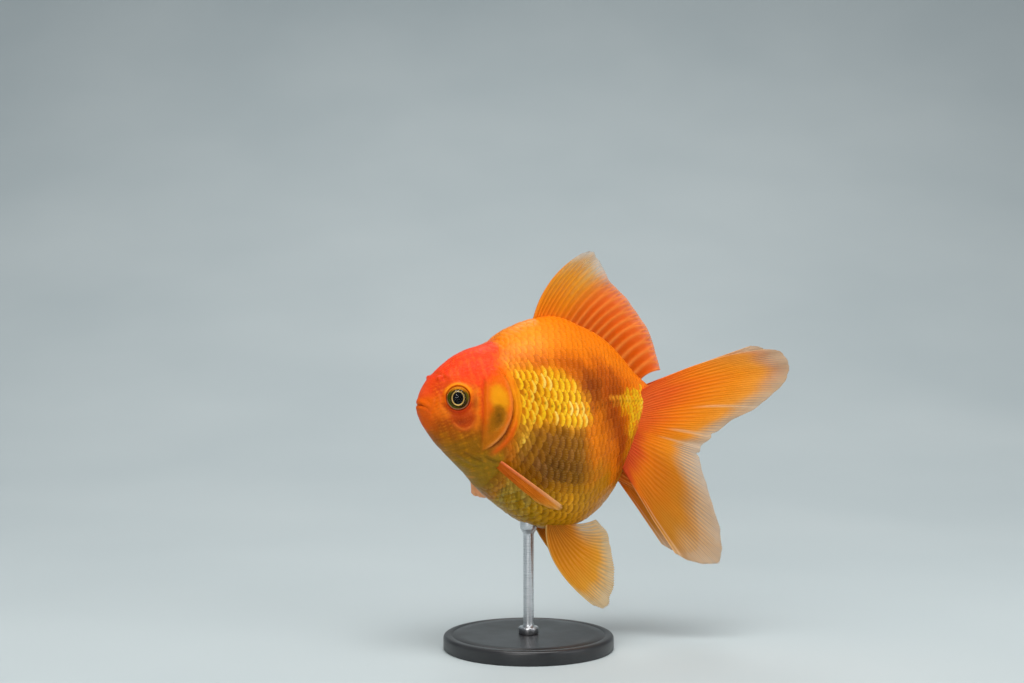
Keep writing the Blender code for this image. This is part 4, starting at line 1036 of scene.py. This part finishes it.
# ---------------------------------------------------------------- the eyes
def make_eye(side, name):
    axis = np.array((EYE_AXIS[0], side * EYE_AXIS[1], EYE_AXIS[2]))
    axis /= np.linalg.norm(axis)
    across = np.cross((0, 0, 1.0), axis)
    across /= np.linalg.norm(across)
    upward = np.cross(axis, across)
    centre = np.array((EYE[0], side * EYE[1], EYE[2]))
    turn = 96
    angles = 2 * math.pi * np.arange(turn) / turn
    # Profile from the middle of the pupil out over the ring and the iris, then round the back of the ball.
    r_front = np.concatenate([np.linspace(0.15, 2.2, 12), np.linspace(2.28, 3.15, 12), np.linspace(3.25, 4.3, 12)])
    z_front = np.where(r_front < 2.24, 3.62 + 0.25 * (1 - (r_front / 2.24) ** 2),
                       np.where(r_front < 3.2, 3.6 + 0.17 * np.sin(np.pi * (r_front - 2.24) / 0.96),
                                3.58 - 0.72 * ((r_front - 3.2) / 1.1) ** 1.6))
    lat = np.linspace(math.asin(4.42 / 4.96), math.pi - 0.12, 22)
    r = np.concatenate([r_front, 4.96 * np.sin(lat)])
    z = np.concatenate([z_front, 4.96 * np.cos(lat)])
    rr, aa = np.meshgrid(r, angles, indexing="ij")
    zz = np.repeat(z[:, None], turn, 1)
    # Pupil and ring are a little taller than wide.
    taller = 1 + 0.11 * soft(rr, 4.2, 2.6)
    narrow = 1 - 0.04 * soft(rr, 4.2, 2.6)
    fibre = 0.03 * np.sin(aa * 37 + 2 * np.sin(aa * 5)) * soft(rr, 3.2, 3.5) * soft(rr, 4.4, 4.2)
    zz = zz + np.where(zz > 2.3, fibre, 0)
    local = (rr * np.cos(aa) * narrow)[..., None] * across + (rr * np.sin(aa) * taller)[..., None] * upward
    points = centre + local + zz[..., None] * axis
    rows = len(r)
    tips = np.array([centre + 3.87 * axis, centre - 4.96 * axis])
    k = np.arange(turn)
    front = np.stack([np.full(turn, rows * turn), k, (k + 1) % turn], -1)
    last = (rows - 1) * turn
    rear = np.stack([np.full(turn, rows * turn + 1), last + (k + 1) % turn, last + k], -1)
    quads = grid_faces(rows, turn, wrap=True)[:, ::-1]
    up, fore = np.sin(aa), -np.cos(aa) * (1 if side > 0 else -1)
    colour = np.zeros(rr.shape + (3,)) + rgb(3, 3, 4)

    def lay(new, w):
        nonlocal colour
        colour = colour + (new - colour) * np.clip(w, 0, 1)[..., None]

    lay(rgb(214, 178, 104), soft(rr, 2.26, 2.36))
    lay(rgb(150, 104, 26), soft(rr, 2.54, 2.70) * 0.8)
    lay(rgb(58, 42, 6), soft(rr, 2.62, 2.86))
    lay(rgb(104, 92, 16), soft(rr, 3.3, 3.9) * soft(np.sin(aa * 3 + 1.0), -0.6, 1.0))
    lay(rgb(70, 84, 18), soft(rr, 3.2, 3.6) * soft(-fore - 0.3 * up, 0.0, 0.8) * 0.8)
    lay(rgb(206, 124, 14), soft(rr, 3.2, 3.9) * soft(up, 0.45, 0.9) * 0.8)
    lay(rgb(214, 150, 112), soft(rr, 4.12, 4.35) * soft(up, 0.3, -0.5) * 0.9)
    lay(rgb(226, 134, 30), soft(rr, 4.2, 4.4) * soft(up, 0.0, 0.6) * 0.9)
    lay(rgb(180, 60, 20), (zz < 1.7) * 1.0)
    metal = 0.5 * soft(rr, 2.24, 2.34) * (zz > 2.3) * soft(rr, 4.4, 4.1)
    obj = mesh_piece(name, placed(np.concatenate([points.reshape(-1, 3), tips])), [quads, front, rear], EYE_LOOK)
    paint(obj, tint=np.concatenate([colour.reshape(-1, 3), [rgb(6, 7, 10)], [rgb(150, 40, 10)]]),
          metal=np.concatenate([metal.ravel(), [0.0, 0.0]]),
          rough=np.concatenate([soft(rr, 2.2, 2.4).ravel(), [0.0, 1.0]]))
    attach(obj, "root")
    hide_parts("eye_left" if side < 0 else "eye_right")
    # A clear, closed shell over the front of the ball.
    outer_lat = np.linspace(0.02, math.asin(4.72 / 5.03), 26)
    shells = []
    for radius in (5.03, 4.985):
        rr, aa = np.meshgrid(radius * np.sin(outer_lat), angles, indexing="ij")
        zz = np.repeat(radius * np.cos(outer_lat)[:, None], turn, 1)
        shells.append(centre + (rr * np.cos(aa))[..., None] * across + (rr * np.sin(aa))[..., None] * upward
                      + zz[..., None] * axis)
    rows = len(outer_lat)
    n = rows * turn
    points = np.concatenate([shells[0].reshape(-1, 3), shells[1].reshape(-1, 3), [centre + 5.03 * axis],
                             [centre + 4.985 * axis]])
    outer = grid_faces(rows, turn, wrap=True)[:, ::-1]
    inner = grid_faces(rows, turn, start=n, wrap=True)
    last = (rows - 1) * turn
    rim = np.stack([last + (k + 1) % turn, last + k, n + last + k, n + last + (k + 1) % turn], -1)
    cap = np.stack([np.full(turn, 2 * n), k, (k + 1) % turn], -1)
    cup = np.stack([np.full(turn, 2 * n + 1), n + (k + 1) % turn, n + k], -1)
    shell = mesh_piece(name.replace("ball", "cornea"), placed(points), [outer, inner, rim, cap, cup], CORNEA)
    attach(shell, "root")


# ---------------------------------------------------------------- the fins
def fan(rays, at, u):
    """Points over a fin: at runs 0 to 1 across its rays, and u 0 to 1 from root to tip."""
    rays = np.array(rays, float)
    n = len(rays)
    place = at * (n - 1)
    i = np.clip(place.astype(int), 0, n - 2)
    t = (place - i)[..., None, None]
    p0, p1, p2, p3 = rays[np.maximum(i - 1, 0)], rays[i], rays[i + 1], rays[np.minimum(i + 2, n - 1)]
    row = 0.5 * (2 * p1 + (p2 - p0) * t + (2 * p0 - 5 * p1 + 4 * p2 - p3) * t**2
                 + (3 * p1 - p0 - 3 * p2 + p3) * t**3)
    root, middle, tip = row[..., 0, :], row[..., 1, :], row[..., 2, :]
    bend = 2 * middle - 0.5 * (root + tip)
    u = u[..., None]
    return (1 - u) ** 2 * root + 2 * u * (1 - u) * bend + u * u * tip


def tail_place(sign, turn, lean):
    cos_t, sin_t = math.cos(math.radians(turn)), math.sin(math.radians(turn))
    slant = math.tan(math.radians(lean))

    def place(q):
        r, v = q[..., 0], q[..., 1]
        back = np.maximum(r, 0.0)
        s = TAIL_HINGE[0] + cos_t * r
        y = float(sway(TAIL_HINGE[0])) - sin_t * back - ROOT_SLOPE * np.minimum(r, 0.0)
        y = y + sign * (TAIL_SPREAD + slant * np.maximum(0.0, -v) + TAIL_CURL * (back / 60.0) ** 2)
        return np.stack([s, y, TAIL_HINGE[1] + v], -1)

    return place


def other_half(rays):
    rays = np.array(rays, float)
    about = rays[FORK][0].copy()
    for k in range(len(rays)):
        if k > FORK:
            a = math.radians(TAIL_CLOSED_RIGHT) * (k - FORK) / (len(rays) - 1 - FORK)
            rays[k] = about + (rays[k] - about) @ np.array([[math.cos(a), math.sin(a)], [-math.sin(a), math.cos(a)]])
        else:
            up = 1 - k / FORK
            rays[k][:2] += np.array(TAIL_LOWER_RIGHT) * up
            rays[k][2] *= (1 + TAIL_LONGER_RIGHT * up, 1 + TAIL_TALLER_RIGHT * up)
    return rays


def leaning(sign, out, lean, from_h):
    slant = math.tan(math.radians(lean))

    def place(q):
        s, h = q[..., 0], q[..., 1]
        return np.stack([s, sway(s) + sign * (out + slant * (from_h - h)), h], -1)

    return place


def make_fin(name, rays, place, count, steps, per_ray, colours, wave=0.5, ray_height=0.16, thin=0.13, root=0.62,
             branch=(0.34, 0.66), ragged=0.012, split=None, into=0.05, crowd=0.0, node=None):
    """A fin: a membrane over bony rays that fork twice on their way out.

    colours(at, u, ray) gives the tint and the cover, where ray is 1 on a ray and 0 between two."""
    across = count * per_ray + 1
    at, u = np.meshgrid(np.linspace(0, 1, across), np.linspace(-into, 1, steps), indexing="ij")
    x = count * (at + crowd * at * (1 - at))
    nearest = np.round(x)
    off = np.abs(x - nearest)
    w1 = soft(u, branch[0], branch[0] + 0.3)
    w2 = soft(u, branch[1], 1.0)
    off = np.abs(off - 0.25 * w1)
    off = np.abs(off - 0.125 * w2)
    width = 0.20 - 0.10 * w1 - 0.035 * w2
    ray = np.exp(-(off / width) ** 2)
    wander = np.sin(x * 1.4 + 1.0) * 0.5 + np.sin(x * 3.1) * 0.5
    edge = 1 - ragged * (1 - ray) - ragged * 1.1 * (0.5 + 0.5 * wander)
    if split is not None:
        edge = edge - 0.045 * sum(bump(at - k, 0.007) for k in split)
    q = fan(rays, at, u * edge)
    p = place(q)
    du, da = np.gradient(p, axis=1), np.gradient(p, axis=0)
    n = np.cross(da, du)
    n /= np.maximum(np.linalg.norm(n, axis=-1, keepdims=True), 1e-9)
    # Folds that open towards the margin.
    out = np.maximum(u, 0.0)
    fold = wave * out**1.6 * (np.sin(at * 17 + 2.5 * u) * 0.6 + np.sin(at * 31 + 1.2 - 3 * u) * 0.4)
    fold = fold + 0.28 * wave * out**4 * np.sin(at * 73 + 4 * u)
    p = p + n * fold[..., None]
    du, da = np.gradient(p, axis=1), np.gradient(p, axis=0)
    n = np.cross(da, du)
    n /= np.maximum(np.linalg.norm(n, axis=-1, keepdims=True), 1e-9)
    half = thin + root * (1 - out) ** 3 + ray_height * ray * (1.15 - 0.75 * u)
    border = np.minimum(np.minimum(at, 1 - at) * across / 5.0, 1.0)
    lead = bump(np.minimum(at, 9) * count, 0.7) * 0.22 * (1 - 0.6 * u)
    half = (half + lead) * (0.35 + 0.65 * soft(border, 0, 1)) * (1 - 0.5 * soft(u, 0.97, 1.0))
    sides = (p + n * half[..., None], p - n * half[..., None])
    rows, columns = at.shape
    size = rows * columns
    a = grid_faces(rows, columns)
    b = grid_faces(rows, columns, start=size)[:, ::-1]
    ring = np.concatenate([np.arange(columns), np.arange(1, rows) * columns + columns - 1,
                           (rows - 1) * columns + np.arange(columns - 2, -1, -1), np.arange(rows - 2, 0, -1) * columns])
    nxt = np.roll(ring, -1)
    rim = np.stack([nxt, ring, ring + size, nxt + size], -1)
    faces = [a, b, rim]
    tint, cover = colours(at, u, ray)
    tint, cover = np.clip(tint, 0, 1), np.clip(cover, 0, 1)
    obj = mesh_piece(name, placed(np.concatenate([sides[0].reshape(-1, 3), sides[1].reshape(-1, 3)])), faces, FIN)
    # Faces look outwards whichever way the fin's grid runs.
    paint(obj, tint=np.tile(tint.reshape(-1, 3), (2, 1)), cover=np.tile(cover.ravel(), 2))
    uv = np.stack([0.01 + 0.98 * at, 0.01 + 0.48 * u], -1).reshape(-1, 2)
    unwrap(obj, np.concatenate([uv, uv + (0, 0.5)]))
    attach(obj, "root")
    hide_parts(node)
    return obj


def blend(stops, x):
    """Colours between stops of (place, colour)."""
    at = [k for k, _ in stops]
    return np.stack([np.interp(x, at, [c[i] for _, c in stops]) for i in range(3)], -1)


def layer(colour, new, w):
    return colour + (new - colour) * np.clip(w, 0, 1)[..., None]


def tail_colours(pale):
    """Coral at the root, through orange and amber to a pale, clear margin; pale says how far in that comes."""
    def colours(at, u, ray):
        wob = 0.03 * np.sin(at * 23) + 0.02 * np.sin(at * 57 + 1)
        clear = np.interp(at, (0, 0.1, 0.28, 0.4, 0.5, 0.6, 0.68, 0.8, 0.92, 1.0),
                          (0.92, 0.86, 0.84, 0.80, 0.76, 0.70, 0.70, 0.77, 0.88, 0.94)) - pale
        k = u + wob
        c = blend(((0, rgb(240, 100, 40)), (0.14, rgb(246, 106, 30)), (0.34, rgb(255, 136, 16)), (0.58, rgb(255, 158, 28)),
                   (0.8, rgb(250, 172, 62)), (1.0, rgb(238, 180, 104))), k)
        c = layer(c, rgb(222, 72, 34), soft(at, 0.5, 0.62) * soft(k, 0.34, 0.1) * 0.85)
        c = layer(c, rgb(206, 104, 12), soft(at, 0.6, 0.74) * bump(k - 0.5, 0.2) * 0.6)
        c = layer(c, rgb(236, 158, 70), soft(at, 0.14, 0.05) * soft(k, 0.3, 0.7) * 0.5)
        c = layer(c, rgb(206, 140, 114), soft(at, 0.36, 0.16) * soft(k, 0.70, 0.90) * 0.85)
        c = layer(c, rgb(178, 112, 20), soft(at, 0.6, 0.76) * soft(k, 0.42, 0.8) * 0.55)
        away = soft(k, clear - 0.10, clear + 0.16)
        c = layer(c, rgb(206, 186, 160), away * (0.85 - 0.15 * soft(at, 0.6, 0.8)))
        c = layer(c, rgb(214, 212, 206), soft(k, clear + 0.1, clear + 0.34) * 0.8)
        light = layer(c, rgb(255, 190, 96), 0.12 + 0.4 * away)
        c = layer(c * (0.97 - 0.03 * soft(k, 0.2, 0.6) - 0.14 * away)[..., None], light, ray)
        # The pale leading edge of each lobe, and a few creases that catch the light.
        lead = np.maximum(bump(at, 0.012), bump(1 - at, 0.012))
        c = layer(c, rgb(246, 196, 140), 0.8 * lead * soft(k, 0.15, 0.4))
        for place_, w in ((0.335, 0.006), (0.47, 0.007), (0.555, 0.009), (0.955, 0.006)):
            c = layer(c, rgb(250, 214, 170), 0.5 * bump(at - place_ - 0.03 * (u - 0.5), w) * soft(u, 0.35, 0.6))
        cover = 0.97 - 0.05 * soft(k, 0.3, 0.7) - 0.42 * away + 0.26 * ray * away + 0.2 * lead
        return c, cover
    return colours


def dorsal_colours(at, u, ray):
    front = soft(at, 0.42, 0.24)
    c = blend(((0, rgb(244, 122, 6)), (0.3, rgb(240, 140, 10)), (0.6, rgb(238, 160, 34)), (0.85, rgb(224, 176, 96)),
               (1.0, rgb(214, 204, 188))), u + 0.04 * np.sin(at * 31))
    rear = blend(((0, rgb(244, 126, 14)), (0.1, rgb(216, 92, 4)), (0.4, rgb(240, 98, 8)), (0.7, rgb(252, 116, 40)), (0.9, rgb(250, 140, 92)),
                  (1.0, rgb(244, 172, 144))), u)
    c = layer(rear, c, front)
    light = layer(c, rgb(254, 160, 70), 0.16 + 0.40 * (1 - front))
    c = layer(c * (0.95 + 0.02 * front)[..., None], light, ray)
    lead = bump(at, 0.02)
    c = layer(c, rgb(246, 150, 44), 0.8 * lead * soft(u, 0.95, 0.7))
    cover = 0.95 - front * (0.14 * soft(u, 0.15, 0.5) + 0.36 * soft(u, 0.6, 0.95)) - (1 - front) * 0.28 * soft(u, 0.8, 1.0)
    return c, cover + 0.16 * ray + 0.2 * lead


def pelvic_colours(at, u, ray):
    c = blend(((0, rgb(176, 100, 8)), (0.2, rgb(214, 124, 12)), (0.5, rgb(236, 146, 16)), (0.75, rgb(236, 164, 46)),
               (0.92, rgb(214, 178, 118)), (1.0, rgb(214, 204, 180))), u + 0.03 * np.sin(at * 29))
    away = np.maximum(soft(u, 0.74, 0.98), soft(at, 0.62, 0.96) * soft(u, 0.25, 0.6))
    c = layer(c, rgb(212, 196, 158), 0.8 * away)
    light = layer(c, rgb(250, 192, 96), 0.26 + 0.35 * away)
    c = layer(c * 0.92, light, ray)
    lead = bump(at, 0.025)
    c = layer(c, rgb(244, 202, 120), 0.75 * lead)
    return c, 0.95 - 0.40 * away + 0.22 * ray + 0.2 * lead


def anal_colours(at, u, ray):
    c = blend(((0, rgb(226, 104, 24)), (0.5, rgb(236, 126, 26)), (1.0, rgb(226, 160, 76))), u)
    light = layer(c, rgb(252, 176, 84), 0.45)
    return layer(c * 0.84, light, ray), 0.95 - 0.3 * soft(u, 0.6, 1.0) + 0.15 * ray


def pectoral_colours(at, u, ray):
    c = blend(((0, rgb(226, 106, 20)), (0.3, rgb(208, 98, 6)), (0.7, rgb(222, 120, 12)), (0.9, rgb(240, 162, 56)),
               (1.0, rgb(244, 192, 108))), u)
    light = layer(c, rgb(250, 158, 60), 0.3)
    c = layer(c * 0.9, light, ray)
    lead = soft(at, 0.26, 0.1)
    c = layer(c, blend(((0, rgb(246, 132, 78)), (0.35, rgb(252, 150, 92)), (1.0, rgb(255, 200, 136))), u), 0.95 * lead)
    return c, 0.97 - 0.22 * soft(u, 0.6, 1.0) * (1 - lead) + 0.15 * ray


def far_pectoral_colours(at, u, ray):
    c, cover = pectoral_colours(at, u, ray)
    return layer(c, rgb(255, 194, 142), 0.5 + 0.45 * soft(u, 0.4, 0.85)), cover


def make_fins():
    make_fin("fin_dorsal_rayed", DORSAL, lambda q: np.stack([q[..., 0], sway(q[..., 0]), q[..., 1]], -1), 20, 62, 12,
             dorsal_colours, wave=0.45, ray_height=0.24, branch=(0.62, 0.9), ragged=0.016, crowd=0.45,
             node="fin_dorsal")
    make_fin("fin_tail_left_rayed", TAIL, tail_place(-1, TAIL_TURN_LEFT, TAIL_LEAN_LEFT), 44, 84, 9,
             tail_colours(0.0), wave=0.7, ragged=0.010, split=(0.475, 0.60), node="fin_tail_left")
    make_fin("fin_tail_right_rayed", other_half(TAIL), tail_place(1, TAIL_TURN_RIGHT, TAIL_LEAN_RIGHT), 44, 84, 9,
             tail_colours(0.06), wave=0.7, ragged=0.010, split=(0.43, 0.585), node="fin_tail_right")
    make_fin("fin_pelvic_left_rayed", PELVIC, leaning(-1, PELVIC_OUT, PELVIC_LEAN, -50.0), 14, 54, 10,
             pelvic_colours, wave=0.4, ragged=0.018, node="fin_pelvic_left")
    make_fin("fin_pelvic_right_rayed", PELVIC_RIGHT, leaning(1, PELVIC_OUT, PELVIC_LEAN_RIGHT, -50.0), 14, 54, 10,
             pelvic_colours, wave=0.4, ragged=0.018, node="fin_pelvic_right")
    for side, sign in (("left", -1), ("right", 1)):
        make_fin(f"fin_anal_{side}_rayed", ANAL, leaning(sign, ANAL_OUT, ANAL_LEAN, -30.0), 7, 36, 10, anal_colours,
                 wave=0.2, root=0.5, ragged=0.02, node=f"fin_anal_{side}")
    for side, sign, rays in (("left", -1, PECTORAL_LEFT), ("right", 1, PECTORAL_RIGHT)):
        make_fin(f"fin_pectoral_{side}_rayed", rays,
                 lambda q, k=sign: np.stack([q[..., 0], k * q[..., 1], q[..., 2]], -1), 13, 52, 10,
                 pectoral_colours if sign < 0 else far_pectoral_colours,
                 wave=0.3, ragged=0.02, into=0.14, root=0.35, node=f"fin_pectoral_{side}")


# ---------------------------------------------------------------- the stand
def turned(name, profile, look, node, turn=128):
    """A piece turned about the upright axis, from (radius, height) in millimetres."""
    profile = np.array(profile, float)
    a = 2 * math.pi * np.arange(turn) / turn
    ring = np.stack([profile[:, 0, None] * np.cos(a), profile[:, 0, None] * np.sin(a),
                     np.repeat(profile[:, 1, None], turn, 1)], -1)
    rows = len(profile)
    points = np.concatenate([ring.reshape(-1, 3), [(0, 0, profile[0, 1])], [(0, 0, profile[-1, 1])]]) * MM
    k = np.arange(turn)
    last = (rows - 1) * turn
    low = np.stack([np.full(turn, rows * turn), (k + 1) % turn, k], -1)
    high = np.stack([np.full(turn, rows * turn + 1), last + k, last + (k + 1) % turn], -1)
    obj = mesh_piece(name, points, [grid_faces(rows, turn, wrap=True), low, high], look)
    obj.data.set_sharp_from_angle(angle=math.radians(50))
    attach(obj, "root")
    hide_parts(node)
    return obj


def rounded(r0, z0, r1, z1, steps, turn_in):
    """Points of a quarter round from one place to another."""
    t = np.linspace(0, math.pi / 2, steps)
    if turn_in:
        return [(r0 + (r1 - r0) * (1 - math.cos(k)), z0 + (z1 - z0) * math.sin(k)) for k in t]
    return [(r0 + (r1 - r0) * math.sin(k), z0 + (z1 - z0) * (1 - math.cos(k))) for k in t]


def make_stand():
    lip = 1.4
    base = [(0.4, 0.0), (BASE_RADIUS - 0.5, 0.0), (BASE_RADIUS, 0.5)]
    base += rounded(BASE_RADIUS, BASE_HEIGHT - lip, BASE_RADIUS - lip, BASE_HEIGHT, 9, True)
    base += [(BASE_RADIUS - 3.2, BASE_HEIGHT), (BASE_RADIUS - 3.5, BASE_HEIGHT - 0.25),
             (BASE_RADIUS - 3.9, BASE_HEIGHT - 0.25), (BASE_RADIUS - 4.2, BASE_HEIGHT)]
    base += [(r, BASE_HEIGHT) for r in (28.0, 20.0, 12.0, 6.0, 0.4)]
    turned("stand_base_turned", base, BLACK, "stand_base")
    belly = MOUTH_Z + float(through(BOTTOM, -SNOUT_X))
    foot = BASE_HEIGHT + 0.02
    rod = [(0.2, foot), (COLLAR_RADIUS - 0.3, foot), (COLLAR_RADIUS, foot + 0.3),
           (COLLAR_RADIUS, foot + COLLAR_HEIGHT - 0.6)]
    rod += rounded(COLLAR_RADIUS, foot + COLLAR_HEIGHT - 0.6, COLLAR_RADIUS - 0.6, foot + COLLAR_HEIGHT, 5, True)
    rod += [(ROD_RADIUS + 0.5, foot + COLLAR_HEIGHT + 0.05), (ROD_RADIUS + 0.12, foot + COLLAR_HEIGHT + 0.3),
            (ROD_RADIUS, foot + COLLAR_HEIGHT + 0.8)]
    rod += [(ROD_RADIUS, z) for z in np.linspace(foot + COLLAR_HEIGHT + 2, belly - 5.0, 8)]
    rod += [(ROD_RADIUS, belly - 4.0), (ROD_RADIUS + 0.25, belly - 3.3), (CUP_RADIUS - 0.35, belly - 1.9),
            (CUP_RADIUS, belly - 1.2), (CUP_RADIUS, belly + 0.6), (CUP_RADIUS, belly + 2.6), (0.2, belly + 2.8)]
    turned("stand_rod_turned", rod, STEEL, "stand_rod", 64)


# ---------------------------------------------------------------- the studio
def make_studio():
    look = Look("studio_floor")
    cloud = look.noise(3.0, 3, 0.5)
    tone = look.mix(look.spread(cloud, 0.3, 0.7, 0.0, 1.0), (0.50, 0.56, 0.57), (0.55, 0.605, 0.61))
    look.set(Base_Color=tone, Roughness=look.spread(cloud, 0.3, 0.7, 0.6, 0.75))
    look.bumps((look.noise(900, 2), 0.02))
    yaw = math.radians(28.0)
    ahead = np.array((math.sin(yaw), math.cos(yaw)))
    side = np.array((math.cos(yaw), -math.sin(yaw)))
    # A floor that curves up into a backdrop, square to the camera.
    run = [(-3.0, 0.0), (0.35, 0.0)]
    run += [(0.35 + 2.3 * math.sin(k), 2.3 * (1 - math.cos(k))) for k in np.linspace(0.03, math.pi / 2, 48)]
    run += [(2.65, 4.2)]
    points, width = [], 4.6
    for d, z in run:
        for w in np.linspace(-width, width, 9):
            points.append((*(ahead * d + side * w), z))
    floor = mesh_piece("studio_floor", np.array(points), [grid_faces(len(run), 9)[:, ::-1]], look.material)

    def lamp(name, place_, size, power, colour, towards=(0, 0, 0.11)):
        data = bpy.data.lights.new(name, "AREA")
        data.shape = "RECTANGLE"
        data.size, data.size_y = size
        data.energy = power
        data.color = colour
        obj = bpy.data.objects.new(name, data)
        bpy.context.scene.collection.objects.link(obj)
        direction = np.array(place_, float) - np.array(towards, float)
        from mathutils import Vector
        obj.location = place_
        obj.rotation_euler = Vector(direction).to_track_quat("Z", "Y").to_euler()

    lamp("soft_top", (-0.10, -0.34, 0.92), (0.8, 0.5), 3.8, (1.0, 0.985, 0.96))
    lamp("soft_left", (-0.75, -0.85, 0.42), (0.5, 0.6), 4.4, (1.0, 0.98, 0.95))
    lamp("soft_right", (0.55, -0.85, 0.34), (0.5, 0.6), 2.1, (0.98, 0.99, 1.0))
    lamp("soft_behind", (0.56, 1.06, 1.60), (0.7, 0.6), 6.0, (1.0, 0.98, 0.96))
    lamp("soft_backdrop", (-0.30, -0.30, 1.90), (1.4, 0.8), 22.0, (0.97, 0.99, 1.0), (1.2, 2.1, 0.35))
    world = bpy.data.worlds.new("studio")
    world.use_nodes = True
    world.node_tree.nodes["Background"].inputs[0].default_value = (0.86, 0.93, 1.0, 1.0)
    world.node_tree.nodes["Background"].inputs[1].default_value = 0.26
    bpy.context.scene.world = world

    data = bpy.data.cameras.new("camera")
    data.lens, data.sensor_width = 50.0, 36.0
    data.clip_start = 0.01
    camera = bpy.data.objects.new("camera", data)
    bpy.context.scene.collection.objects.link(camera)
    camera.location = (-0.288915, -0.528465, 0.129579)
    camera.rotation_euler = (math.pi / 2, 0.0, -yaw)
    bpy.context.scene.camera = camera
    bpy.context.scene.view_settings.view_transform = "Standard"


make_skin()
SCALE_COUNTS = [make_scales(-1, "scales_left")[1], make_scales(1, "scales_right")[1]]
print("scales", SCALE_COUNTS)
make_eye(-1, "eye_ball_left")
make_eye(1, "eye_ball_right")
make_fins()
make_stand()
make_studio()
